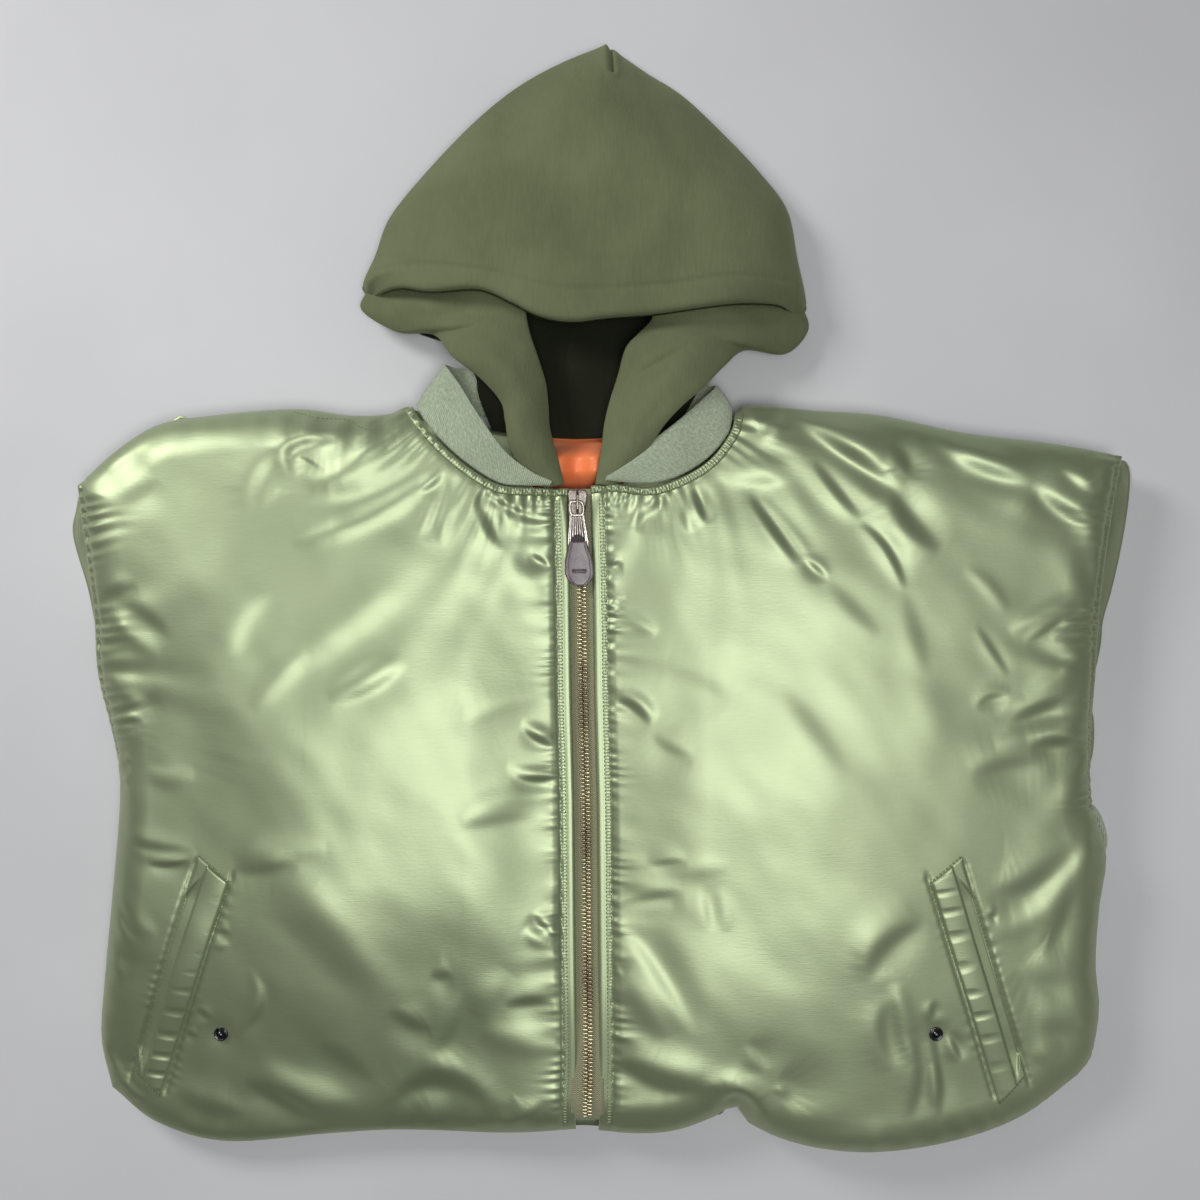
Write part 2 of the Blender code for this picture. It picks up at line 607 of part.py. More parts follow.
def build_hood_side(name, table):
    """A side panel of the hood: folded over softly on its way down to the zip."""
    rows = through(table, steps(20))
    share = steps(6)[None, :, None]
    plan = rows[:, None, :3] * (1 - share) + rows[:, None, 3:6] * share
    plan[..., 2] += rows[:, 6:7] * np.sin(np.pi * share[..., 0]) ** 0.8
    out = normals(plan)
    half = FLEECE_WALL / 2 * (0.6 + 0.4 * np.sin(np.pi * share))
    wall_between(name, plan + out * half, plan - out * half, fleece())


def lining_top(ring):
    x, y = ring[..., 0], ring[..., 1]
    bulges = np.exp(-((x + 31) / 11) ** 2) + np.exp(-((x + 4) / 12) ** 2)
    seen = smooth((y - 70) / 22) * smooth(-beyond(ring, NECK_LINING) / 12)
    return back_top(ring) + 2 * LAYER_GAP + 2.0 + (8 + 12 * bulges) * seen


def build_neck_lining():
    across, along = steps(10), steps(6)
    plan = patch(through([(-62, 60), (-16, 48), (32, 60)], across),
                 through([(-52, 112), (-16, 116), (22, 112)], across),
                 through([(-62, 60), (-60, 90), (-52, 112)], along),
                 through([(32, 60), (31, 90), (22, 112)], along))
    upper = lining_top(plan)
    lower = upper - 2.0
    wall_between("neck_lining", lifted(plan, upper), lifted(plan, lower), orange_lining())


def zip_strip(y, offsets, rise):
    """Rows of points across the zip, following the fronts' edges at a height below their tops."""
    grid = np.stack([np.stack([zip_x(y) + off, y], axis=-1) for off in offsets], axis=1)
    edge, _ = distance(grid, OUTER_EDGES)
    gap = TAPE_GAP * (1 + 3 * (1 - smooth(edge / EDGE_ROLL)))
    return lifted(grid, front_top(grid) - RIM_WALL - TAPE_WALL - gap + rise)


def build_zip():
    """Two woven tapes under the fronts' edges, with the chain of teeth along their middle."""
    y = TAPE_END + (TAPE_TOP - TAPE_END) * steps(28, 0.45, 0.0)
    for name, sign in (("zip_tape_left", -1), ("zip_tape_right", 1)):
        offsets = (sign * 0.4, sign * TAPE_WIDTH / 2, sign * TAPE_WIDTH)
        wall_between(name, zip_strip(y, offsets, TAPE_WALL), zip_strip(y, offsets, 0.0), woven_tape())
    y = TAPE_END + (HINGE_Y - SLIDER_LENGTH / 2 - 2 - TAPE_END) * steps(28, 0.45, 0.0)
    offsets = (-CHAIN_WIDTH / 2, -1.0, 1.0, CHAIN_WIDTH / 2)
    low = zip_strip(y, offsets, TAPE_WALL + SEAM_GAP)
    high = low + np.array([0.0, 0.0, CHAIN_HEIGHT])
    high[:, [0, -1], 2] -= 0.5
    wall_between("zip_chain", high, low, aged_brass())


def round_edges(made, width):
    """Round the sharp edges of a hard piece."""
    rounding = made.modifiers.new("rounded edge", "BEVEL")
    rounding.width = width * MM
    rounding.segments = 2
    rounding.limit_method = "ANGLE"
    rounding.angle_limit = math.radians(50)


def outline_plate(name, outline, low, high, bevel, finish):
    """A plate cut to an outline and rounded along its edges."""
    bm = bmesh.new()
    face = bm.faces.new([bm.verts.new((x, y, low)) for x, y in outline])
    grown = bmesh.ops.extrude_face_region(bm, geom=[face])
    raised = [item for item in grown["geom"] if isinstance(item, bmesh.types.BMVert)]
    bmesh.ops.translate(bm, verts=raised, vec=(0, 0, high - low))
    made = add_object(name, bm, finish)
    round_edges(made, bevel)
    return made


def arc(cx, cy, radius, start, end, count):
    """Points on an arc, angles in degrees."""
    return [(cx + radius * math.cos(math.radians(a)), cy + radius * math.sin(math.radians(a)))
            for a in np.linspace(start, end, count)]


def build_slider():
    """The slider's shield, with the bridge that carries the pull."""
    low = ZIP_TOP - RIM_WALL + 1.4
    x, y = HINGE_X + 1.0, HINGE_Y
    half = SLIDER_WIDTH / 2
    shield = (arc(x - half + 4, y + 6, 4, 180, 100, 4) + arc(x + half - 4, y + 6, 4, 80, 0, 4)
              + [(x + half - 1.5, y - 6)] + arc(x, y - 7, 5, 330, 210, 5) + [(x - half + 1.5, y - 6)])
    body = outline_plate("zip_slider", shield, low, low + SLIDER_HEIGHT, 0.8, antique_metal())
    bridge = bpy.data.curves.new("slider_bridge", "CURVE")
    bridge.dimensions = "3D"
    bridge.bevel_depth = BRIDGE_RADIUS * MM
    bridge.bevel_resolution = 1
    bridge.use_fill_caps = True
    run = bridge.splines.new("POLY")
    foot = low + SLIDER_HEIGHT - 1.2
    path = [(x, y + 8.5, foot), (x, y + 8.0, HINGE_Z + 2.0), (x, y + 5.0, HINGE_Z + BRIDGE_RISE),
            (x, y - 5.0, HINGE_Z + BRIDGE_RISE), (x, y - 7.4, HINGE_Z + 2.0), (x, y - 7.8, foot)]
    run.points.add(len(path) - 1)
    for point, place in zip(run.points, path):
        point.co = ((place[0] - ORIGIN[0]) * MM, (place[1] - ORIGIN[1]) * MM, place[2] * MM, 1.0)
    curve_object = bpy.data.objects.new("slider_bridge_guide", bridge)
    bpy.data.collections["guides"].objects.link(curve_object)
    bpy.context.view_layer.update()
    evaluated = curve_object.evaluated_get(bpy.context.evaluated_depsgraph_get())
    mesh = bpy.data.meshes.new_from_object(evaluated)
    bm = bmesh.new()
    bm.from_mesh(mesh)
    bmesh.ops.remove_doubles(bm, verts=bm.verts, dist=1e-6)
    bm.to_mesh(mesh)
    bm.free()
    bpy.data.objects.remove(curve_object)
    cutter = bpy.data.objects.new("slider_bridge", mesh)
    cutter.hide_render = True
    cutter.display_type = "WIRE"
    bpy.data.collections["guides"].objects.link(cutter)
    join = body.modifiers.new("bridge", "BOOLEAN")
    join.operation = "UNION"
    join.object = cutter


def build_pull():
    """The metal pull, hung on the bridge by the bar of its eye, and the leather tab on its end."""
    outer = ([(-7.0, -13.0), (-8.0, 2.5 - PULL_LENGTH), (-6.0, -PULL_LENGTH), (6.0, -PULL_LENGTH),
              (8.0, 2.5 - PULL_LENGTH), (7.0, -13.0)] + arc(4.2, -0.2, 1.6, 0, 90, 4) + arc(-4.2, -0.2, 1.6, 90, 180, 4))
    hole = arc(0, -3.4, EYE_HALF_WIDTH, 60, 120, 3) + arc(0, -EYE_REACH + 2.8, EYE_HALF_WIDTH, 180, 360, 7)
    bm = bmesh.new()
    rims = [[bm.verts.new((x + PULL_LEAN * y, y, z)) for x, y in ring]
            for z in (-PULL_WALL / 2, PULL_WALL / 2) for ring in (outer, hole)]
    for pair in (rims[:2], rims[2:]):
        edges = [bm.edges.new((a, b)) for ring in pair for a, b in zip(ring, ring[1:] + ring[:1])]
        bmesh.ops.triangle_fill(bm, edges=edges, use_beauty=True)
    for lower, upper in ((rims[0], rims[2]), (rims[1], rims[3])):
        for k in range(len(lower)):
            n = (k + 1) % len(lower)
            bm.faces.new((lower[k], lower[n], upper[n], upper[k]))
    lay_down(bm)
    add_object("zip_pull", bm, antique_metal())

    bm = bmesh.new()
    start = 5.5 - PULL_LENGTH
    end = start - TAB_LENGTH + TAB_RADIUS
    tab = [(-7.0, start), (7.0, start)] + arc(0, end, TAB_RADIUS, 20, -200, 15)
    face = bm.faces.new([bm.verts.new((x + PULL_LEAN * y, y, PULL_WALL / 2 + SEAM_GAP)) for x, y in tab])
    grown = bmesh.ops.extrude_face_region(bm, geom=[face])
    raised = [item for item in grown["geom"] if isinstance(item, bmesh.types.BMVert)]
    bmesh.ops.translate(bm, verts=raised, vec=(0, 0, TAB_WALL))
    lay_down(bm)
    round_edges(add_object("pull_tab", bm, leather()), 0.5)


def lay_down(bm):
    """Bring a piece of the pull to its hinge, sloping down a little towards its free end."""
    along, down = math.cos(math.radians(PULL_SLOPE)), math.sin(math.radians(PULL_SLOPE))
    for vert in bm.verts:
        x, y, z = vert.co
        vert.co = (HINGE_X + x, HINGE_Y + y * along - z * down, HINGE_Z + y * down + z * along)


def build_welt(name, corners):
    """A pocket welt, laid on the front along its four corners."""
    top_outer, top_inner, bottom_inner, bottom_outer = [np.array(c, float) for c in corners]
    across = steps(3)[None, :, None]
    along = steps(14)[:, None, None]
    plan = ((1 - along) * ((1 - across) * top_outer + across * top_inner)
            + along * ((1 - across) * bottom_outer + across * bottom_inner))
    base = lifted(plan, front_top(plan))
    out = normals(base)
    rim = np.sin(np.pi * np.clip(across, 0.12, 0.88)) ** 0.5
    wall_between(name, base + out * (1.1 + WELT_WALL * rim), base + out * 1.1, nylon())


def build_snap(name, spot):
    """A snap's domed cap, turned about its own axis and set on the cloth."""
    spot = np.array([[spot]], float)
    height = float(front_top(spot)[0, 0])
    profile = [(0.0, SNAP_HEIGHT), (2.4, SNAP_HEIGHT - 0.4), (3.3, SNAP_HEIGHT - 1.3), (3.7, SNAP_HEIGHT - 2.2),
               (SNAP_RADIUS, SNAP_HEIGHT - 2.4), (SNAP_RADIUS, 0.0), (0.0, 0.0)]
    mesh = bpy.data.meshes.new(name)
    mesh.from_pydata([(r * MM, 0.0, z * MM) for r, z in profile], [(k, k + 1) for k in range(len(profile) - 1)], [])
    mesh.materials.append(gunmetal())
    made = bpy.data.objects.new(name, mesh)
    bpy.data.collections["bomber_jacket"].objects.link(made)
    made.location = ((spot[0, 0, 0] - ORIGIN[0]) * MM, (spot[0, 0, 1] - ORIGIN[1]) * MM, (height + 0.9) * MM)
    turn = made.modifiers.new("turned", "SCREW")
    turn.steps = 16
    turn.render_steps = 16
    turn.use_merge_vertices = True
    turn.merge_threshold = 0.00002


def build():
    clear_scene()
    for name in ("bomber_jacket", "guides"):
        group = bpy.data.collections.new(name)
        bpy.context.scene.collection.children.link(group)
    build_fronts()
    build_back()
    build_sleeves()
    build_ribs()
    build_collar()
    build_hood_crown()
    build_hood_back()
    build_hood_side("hood_left", HOOD_LEFT)
    build_hood_side("hood_right", HOOD_RIGHT)
    build_neck_lining()
    build_zip()
    build_slider()
    build_pull()
    build_welt("pocket_welt_left", LEFT_WELT)
    build_welt("pocket_welt_right", RIGHT_WELT)
    build_snap("snap_left", LEFT_SNAP)
    build_snap("snap_right", RIGHT_SNAP)


build()
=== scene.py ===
"""Hooded, padded bomber jacket, zipped up and laid flat on its back, dressed piece by piece.

Tables and functions work in millimetres, x to the right and y to the hood; meshes are made in metres.
"""

import math

import bpy
import numpy as np
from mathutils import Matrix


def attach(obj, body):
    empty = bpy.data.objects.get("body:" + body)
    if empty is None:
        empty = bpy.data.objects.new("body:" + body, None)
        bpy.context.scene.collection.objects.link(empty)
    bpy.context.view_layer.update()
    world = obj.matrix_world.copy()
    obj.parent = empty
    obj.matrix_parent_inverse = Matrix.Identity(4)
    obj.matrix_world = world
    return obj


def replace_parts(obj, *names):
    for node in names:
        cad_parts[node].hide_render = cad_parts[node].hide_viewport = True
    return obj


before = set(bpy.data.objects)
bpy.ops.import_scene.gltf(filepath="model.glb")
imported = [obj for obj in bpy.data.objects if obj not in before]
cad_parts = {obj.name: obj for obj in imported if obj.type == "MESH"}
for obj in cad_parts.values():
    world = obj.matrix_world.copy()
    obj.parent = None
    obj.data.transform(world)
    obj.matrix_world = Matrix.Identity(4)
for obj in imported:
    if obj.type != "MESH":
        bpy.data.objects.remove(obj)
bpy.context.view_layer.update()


# ---------------------------------------------------------------------------------------- front panels
# Two padded fronts of sage satin nylon over wadding, sewn to the zip, the collar, the sleeves and the
# back. The wadding swells between the seams, and the nylon gathers and creases wherever it is sewn.
MM = 0.001
MIDDLE = np.array([1.7, -4.4, 0.0])     # the middle of the jacket in the tables
FRONT_ACROSS = 272                      # grid steps from the zip to the side, and from hem to neck
FRONT_ALONG = 316
UNDERSIDE = 4                           # the hidden side of a panel is this many times coarser
FRONT_WALL = 10.0
RIM_WALL = 4.0
SEAM_GAP = 0.3
LAYER_GAP = 2.4
BACK_WALL = 8.0
SLEEVE_THICKNESS = 25.0
RIB_THICKNESS = 7.0
CUFF_THICKNESS = 12.0
ZIP_TOP = 48.0
SHOULDER_TOP = 54.0
LEFT_CROWN = 16.0
RIGHT_CROWN = 14.0
SHOULDER_SWELL = 6.0
SHOULDER_KNOB = 3.4
HEM_FALL = 7.0                          # how much lower the fronts lie towards the hem
LEFT_FALL = 15.0
RIGHT_FALL = 5.0
EDGE_ROLL = 34.0
SIDE_SEAM = 15.0
SHOULDER_SEAM = 24.0
ARMHOLE_SEAM = 31.0
ZIP_OPENING = 8.8
ZIP_STITCHES = (15.2, 19.0)             # two rows of stitching beside the zip
ZIP_GROOVES = (0.5, 1.1)
NECK_GROOVE = 1.6
POCKET_GROOVE = 1.7
SLIT_DEPTH = 3.2
SNAP_DENT = 1.5
ARMHOLE_GROOVE = 1.9

LEFT_SHOULDER = [(-146, 141), (-164, 136), (-194, 135), (-236, 140), (-301, 135), (-340, 128), (-370, 109),
                 (-402, 80)]
LEFT_SIDE = [(-402, 80), (-397, 40), (-389, -20), (-386, -67), (-375, -128), (-373, -164), (-379, -236),
             (-386, -304), (-389, -350), (-381, -388)]
LEFT_HEM = [(-381, -388), (-346, -416), (-292, -431), (-211, -425), (-156, -422), (-78, -424), (-20, -421)]
LEFT_NECK = [(-24, 76), (-50, 76), (-77, 78), (-100, 91), (-122, 110), (-139, 130), (-146, 141)]
RIGHT_SHOULDER = [(105, 137), (118, 143), (165, 139), (218, 135), (280, 122), (343, 114), (402, 103)]
RIGHT_SIDE = [(402, 103), (394, 58), (386, 0), (382, -48), (381, -125), (383, -168), (394, -205), (389, -245),
              (386, -290), (389, -325), (383, -362), (372, -378)]
RIGHT_HEM = [(372, -378), (329, -410), (277, -429), (214, -438), (160, -433), (120, -418), (104, -401),
             (92, -409), (60, -421), (30, -424), (-2, -422)]
RIGHT_NECK = [(-7, 78), (12, 79), (34, 76), (51, 79), (71, 88), (87, 100), (100, 118), (104, 130), (105, 137)]
ZIP_LINE = [(-16, 78), (-14, 0), (-13, -80), (-11, -160), (-10, -270), (-9, -360), (-10, -422)]
LEFT_SLEEVE = [(-409, 84), (-417, 62), (-419, 42), (-407, 0), (-399, -38), (-386, -76), (-366, -104),
               (-340, -130), (-334, -170), (-323, -192), (-300, -238), (-210, -248), (-110, -224),
               (-38, -160), (-22, -80), (-36, -20), (-90, 36), (-170, 92), (-250, 116), (-310, 127),
               (-333, 139), (-344, 130), (-372, 109)]
RIGHT_SLEEVE = [(408, 104), (420, 100), (421, 76), (415, 36), (407, 0), (400, -25), (398, -46), (390, -85),
                (393, -104), (392, -130), (384, -153), (368, -166), (355, -189), (342, -211), (326, -236),
                (290, -246), (200, -248), (90, -220), (12, -160), (-2, -80), (12, -20), (64, 34),
                (130, 88), (230, 106), (330, 105), (386, 100)]
LEFT_CUFF = [(-337, -172), (-352, -178), (-364, -188), (-364, -202), (-347, -248), (-336, -254), (-320, -248),
             (-306, -242), (-318, -218), (-328, -195)]
RIGHT_CUFF = [(373, -169), (388, -169), (397, -177), (403, -196), (400, -212), (388, -236), (372, -246),
              (345, -243), (332, -237), (346, -212), (359, -190)]
HEM_RIB = [(-372, -352), (-330, -350), (0, -352), (330, -350), (364, -350), (366, -368), (325, -400),
           (277, -420), (214, -428), (150, -421), (104, -400), (60, -412), (-78, -415), (-211, -416),
           (-292, -421), (-340, -408), (-374, -384)]
# Pocket welts: top outer, top inner, bottom inner and bottom outer corner
LEFT_WELT = [(-302, -200), (-278, -220), (-340, -390), (-357, -372)]
RIGHT_WELT = [(272, -201), (248, -221), (304, -392), (324, -371)]
LEFT_SNAP = (-289, -339)
RIGHT_SNAP = (254, -336)

# Creases: start x, y, bend x, y, end x, y, half width, height (a trough is below 0)
LEFT_CREASES = [
    (-386, 76, -372, 91, -341, 111, 9, -4), (-364, 63, -343, 73, -333, 83, 7, -2),
    (-275, 124, -265, 125, -296, -116, 14, 1.5), (-230, 85, -248, 117, -193, 111, 6, -6),
    (-227, 90, -198, 66, -160, 122, 7, 5), (-253, 58, -270, 84, -229, 110, 8, -3),
    (-229, 66, -182, 63, -123, 99, 11, -4.5), (-118, 93, -162, 51, -231, 34, 6, 4),
    (-117, 89, -125, 75, -138, 73, 3, -2.5), (-115, 85, -121, 58, -135, 38, 5, -3),
    (-111, 82, -118, 58, -120, 31, 4, 2.5), (-93, 77, -90, 51, -71, 29, 5, -3),
    (-92, 77, -71, 58, -36, 52, 3.2, -3), (-90, 68, -62, 51, -36, 44, 4, 2.5),
    (-72, 29, -56, 5, -42, -3, 6, 2), (-54, 27, -43, 21, -36, 15, 3, -2.5),
    (-131, 31, -168, -14, -225, -54, 12, 1.6), (-147, -3, -188, -40, -240, -72, 12, -1.8),
    (-204, -80, -175, -65, -147, -49, 6, 2.2), (-201, -87, -167, -79, -144, -56, 6, -1.8),
    (-219, -47, -235, -56, -260, -90, 6, 2), (-240, -3, -266, -18, -271, -54, 9, -1.4),
    (-381, -4, -370, -6, -349, 5, 5, -3), (-374, -18, -354, -33, -329, -51, 5, 3),
    (-367, -10, -345, -12, -321, -39, 6, -2.2), (-373, -60, -366, -83, -340, -84, 5, 3),
    (-366, -92, -352, -93, -332, -78, 6, -3), (-367, -100, -354, -100, -343, -99, 3, -3),
    (-363, -130, -360, -132, -354, -132, 2.6, -3), (-366, -145, -360, -149, -357, -150, 2.6, -3),
    (-341, -134, -328, -148, -304, -137, 5, 2.4), (-321, -65, -300, -96, -321, -137, 20, -3),
    (-59, -100, -46, -109, -33, -113, 3.4, 2.4), (-59, -106, -46, -117, -33, -120, 3.4, -2.4),
    (-70, -133, -52, -141, -33, -138, 3.6, 2.2), (-67, -141, -53, -147, -33, -143, 3.6, -2.2),
    (-121, -92, -93, -112, -33, -73, 9, 1.8), (-101, -106, -71, -86, -36, -86, 9, -1.8),
    (-367, -181, -357, -196, -305, -197, 5, -4), (-364, -189, -338, -207, -302, -199, 5, 4),
    (-341, -206, -323, -210, -307, -204, 3, -3), (-371, -230, -366, -251, -348, -267, 5, -4),
    (-367, -224, -355, -257, -333, -258, 6, 3), (-373, -264, -359, -281, -360, -304, 6, -2.5),
    (-275, -202, -251, -194, -204, -194, 7, 3), (-275, -207, -267, -216, -225, -205, 6, -2.4),
    (-268, -218, -220, -193, -157, -308, 12, 4), (-256, -242, -208, -260, -165, -330, 14, -3),
    (-52, -245, -40, -262, -33, -262, 4, -3), (-57, -257, -43, -269, -33, -270, 4.5, 3),
    (-129, -291, -122, -294, -111, -292, 5, -1.6), (-159, -318, -146, -334, -128, -336, 6, -2.6),
    (-73, -317, -50, -312, -33, -315, 5, -3), (-91, -336, -62, -345, -33, -348, 8, 3),
    (-151, -350, -106, -367, -73, -401, 10, 3.4), (-274, -377, -249, -390, -207, -413, 9, -6),
    (-265, -363, -226, -381, -176, -408, 9, 3), (-215, -345, -185, -369, -174, -380, 9, -3),
    (-164, -401, -127, -354, -85, -398, 9, -5), (-75, -410, -51, -413, -43, -391, 6, -4),
    (-81, -399, -66, -427, -38, -396, 5, 3), (-261, -289, -241, -312, -274, -337, 4, -1.5),
    (-266, -285, -247, -311, -279, -342, 3.6, 1.5), (-307, -318, -299, -324, -296, -328, 2.4, -1.6),
    (-316, -337, -312, -341, -307, -341, 2.4, -1.6), (-328, -385, -305, -408, -274, -404, 9, -4),
    (-377, -367, -363, -368, -352, -387, 4, 2.5), (-386, -338, -376, -368, -346, -398, 6, -5),
    (-290, -255, -283, -259, -277, -258, 2.6, -1.6), (-292, -268, -283, -268, -279, -265, 2.4, 1.4),
    (-106, -175, -85, -156, -44, -149, 8, 2.6), (-111, -182, -71, -172, -36, -172, 7, -1.8),
    (-101, -305, -111, -354, -132, -352, 8, -2.4), (-70, -289, -81, -303, -98, -323, 8, 1.8),
]
RIGHT_CREASES = [
    (139, 136, 176, 108, 228, 74, 8, -9.5), (220, 78, 226, 54, 258, 30, 8, -7),
    (150, 138, 192, 126, 229, 90, 8, 4), (158, 110, 195, 76, 222, 58, 7, 3.6),
    (160, 99, 171, 84, 198, 53, 5, -4), (195, 51, 221, 36, 230, 0, 3.6, -3.6),
    (228, 1, 238, -23, 247, -65, 8, -2), (112, 72, 130, 51, 151, 18, 5, -5),
    (121, 70, 140, 47, 159, 24, 4, 3), (152, 24, 163, 15, 171, 7, 3, -3),
    (170, 8, 188, -9, 212, -35, 8, -2), (246, 114, 290, 86, 329, 78, 9, -7),
    (325, 80, 343, 59, 374, 47, 8, -7), (259, 111, 292, 101, 336, 91, 8, 3),
    (272, 80, 309, 76, 360, 42, 8, 3), (348, 92, 358, 82, 374, 73, 5, -3),
    (218, 108, 236, 99, 232, 84, 6, -3.6), (25, 45, 37, 61, 56, 73, 5.5, -4),
    (7, 62, 19, 72, 40, 74, 3, -2.4), (69, 78, 76, 64, 81, 49, 3.6, -3.8),
    (63, 74, 66, 60, 69, 43, 5, 2.2), (88, 86, 107, 75, 147, 82, 7, -2.6),
    (93, 97, 119, 89, 150, 97, 6, 1.8), (140, 26, 186, -19, 221, -54, 14, 1.6),
    (309, -33, 332, -17, 365, -4, 5, 3.6), (321, -42, 347, -24, 366, -15, 4, -2.6),
    (340, -38, 354, -22, 368, -22, 3, 2.4), (346, -61, 360, -52, 368, -50, 3, 2.2),
    (319, -80, 352, -64, 367, -55, 5, 2.6), (307, -103, 338, -87, 365, -74, 6, -4),
    (323, -121, 348, -112, 369, -121, 7, -5.5), (296, -117, 324, -108, 349, -104, 6, 3),
    (278, -142, 305, -129, 339, -131, 9, -4), (283, -90, 292, -78, 309, -81, 4, -2.4),
    (7, 16, 12, 20, 17, 21, 2.6, -2), (7, -15, 9, -9, 20, -9, 2.6, -2), (9, -22, 25, -19, 43, -34, 4, 2.6),
    (9, -84, 25, -84, 38, -104, 4, -3), (12, -80, 29, -78, 42, -98, 4, 2.4),
    (39, -108, 47, -123, 71, -127, 6, -1.8), (274, 16, 289, 10, 307, -17, 4, 1.8),
    (283, -26, 299, -49, 309, -66, 3, -1.4), (235, -11, 243, -33, 253, -140, 12, 1.8),
    (49, -60, 74, -68, 98, -86, 10, -1.6), (97, -73, 135, -79, 172, -134, 12, 1.6),
    (135, -70, 172, -110, 188, -140, 10, -1.6), (11, -248, 38, -274, 74, -338, 8, -4),
    (11, -284, 30, -303, 51, -340, 8, 4), (11, -281, 14, -288, 18, -294, 3, -2),
    (9, -350, 35, -387, 93, -380, 9, -6), (11, -331, 32, -369, 93, -365, 8, 3),
    (11, -388, 38, -402, 75, -382, 7, 3), (76, -393, 97, -345, 134, -413, 7, 4),
    (94, -395, 103, -373, 120, -403, 5, -6), (134, -371, 149, -379, 137, -388, 8, -3),
    (36, -209, 48, -207, 66, -205, 4, -2), (37, -214, 69, -209, 98, -208, 6, 1.8),
    (11, -238, 30, -237, 63, -229, 6, -3), (10, -244, 29, -246, 55, -238, 5, 2.2),
    (76, -223, 83, -238, 83, -258, 5, -1.2), (88, -225, 95, -240, 95, -258, 5, 1.4),
    (110, -342, 122, -353, 126, -364, 5, -1.8), (204, -295, 200, -269, 245, -249, 8, -4),
    (197, -289, 192, -255, 235, -238, 10, 2), (220, -307, 206, -333, 224, -362, 7, -3.4),
    (223, -294, 227, -331, 238, -357, 6, 4), (230, -333, 254, -356, 234, -405, 6, -4),
    (247, -322, 262, -363, 258, -406, 5, -4), (252, -357, 257, -378, 253, -393, 4, 2.6),
    (264, -335, 271, -348, 274, -358, 3, -3), (253, -309, 250, -317, 250, -326, 3, -2),
    (292, -257, 339, -262, 372, -180, 8, 4), (293, -227, 325, -239, 367, -186, 10, -5),
    (376, -176, 366, -214, 362, -253, 6, 4), (335, -279, 360, -239, 369, -200, 9, -5),
    (335, -343, 353, -336, 365, -324, 14, -4), (329, -358, 343, -349, 353, -346, 7, 2.4),
    (293, -248, 295, -246, 300, -245, 2.6, -2), (314, -287, 332, -306, 366, -292, 12, -3),
    (161, -424, 191, -422, 232, -418, 10, 2.4), (138, -409, 176, -404, 215, -409, 12, -2.4),
]


def smooth(t):
    """0 below 0, 1 above 1 and an even S between."""
    t = np.clip(t, 0.0, 1.0)
    return t * t * (3.0 - 2.0 * t)


def roll(t):
    """Height of a quarter circle, 0 at its edge and 1 from t = 1 on."""
    t = np.clip(t, 0.0, 1.0)
    return np.sqrt(1.0 - (1.0 - t) ** 2)


def unit(vectors):
    """Vectors brought to a length of 1."""
    return vectors / np.linalg.norm(vectors, axis=-1, keepdims=True)


def walked_to(path):
    """Distance walked along a path to each of its points."""
    return np.concatenate([[0.0], np.cumsum(np.linalg.norm(np.diff(path, axis=0), axis=1))])


def through(rows, places, closed=False):
    """Rows of numbers read at places 0 to 1 along a Catmull-Rom curve, by its length in plan."""
    rows = np.asarray(rows, float)
    if closed:
        padded = np.vstack([rows[-1], rows, rows[0], rows[1]])
    else:
        padded = np.vstack([2 * rows[0] - rows[1], rows, 2 * rows[-1] - rows[-2]])
    t = np.linspace(0.0, 1.0, 13)[:-1, None]
    spans = []
    for i in range(len(padded) - 3):
        a, b, c, d = padded[i:i + 4]
        spans.append(0.5 * (2 * b + (c - a) * t + (2 * a - 5 * b + 4 * c - d) * t ** 2
                            + (3 * b - a - 3 * c + d) * t ** 3))
    fine = np.vstack(spans + [padded[-2][None]])
    walked = walked_to(fine[:, :2])
    wanted = np.asarray(places, float) * walked[-1]
    return np.stack([np.interp(wanted, walked, column) for column in fine.T], axis=-1)


def steps(count, near=0.0, far=0.0):
    """0 to 1 in count steps, drawn together towards either end by a share from 0 (even) to 1."""
    t = np.linspace(0.0, 1.0, count + 1)
    return (1.0 - near - far) * t + near * (1.0 - np.cos(t * math.pi / 2)) + far * np.sin(t * math.pi / 2)


def beside(points, path):
    """Distance in plan from each point to a path of straight runs, above 0 on its left, and how far along."""
    path = np.asarray(path, float)
    best = np.full(points.shape[:-1], 1e9)
    along, side = np.zeros(points.shape[:-1]), np.ones(points.shape[:-1])
    walked = 0.0
    for start, end in zip(path[:-1], path[1:]):
        run = (end - start)[:2]
        length = max(float(np.hypot(run[0], run[1])), 1e-9)
        dx, dy = points[..., 0] - start[0], points[..., 1] - start[1]
        share = np.clip((dx * run[0] + dy * run[1]) / length ** 2, 0.0, 1.0)
        apart = np.hypot(dx - share * run[0], dy - share * run[1])
        nearer = apart < best
        best[nearer] = apart[nearer]
        along[nearer] = walked + share[nearer] * length
        side[nearer] = np.where(run[0] * dy - run[1] * dx < 0, -1.0, 1.0)[nearer]
        walked += length
    return best * side, along


def distance(points, path):
    """Distance in plan from each point to a path, without its side, and how far along the path that is."""
    apart, along = beside(points, path)
    return np.abs(apart), along


def loop_of(rows, count=120):
    """Points spaced evenly round a closed outline."""
    return through(rows, np.linspace(0.0, 1.0, count, endpoint=False), closed=True)


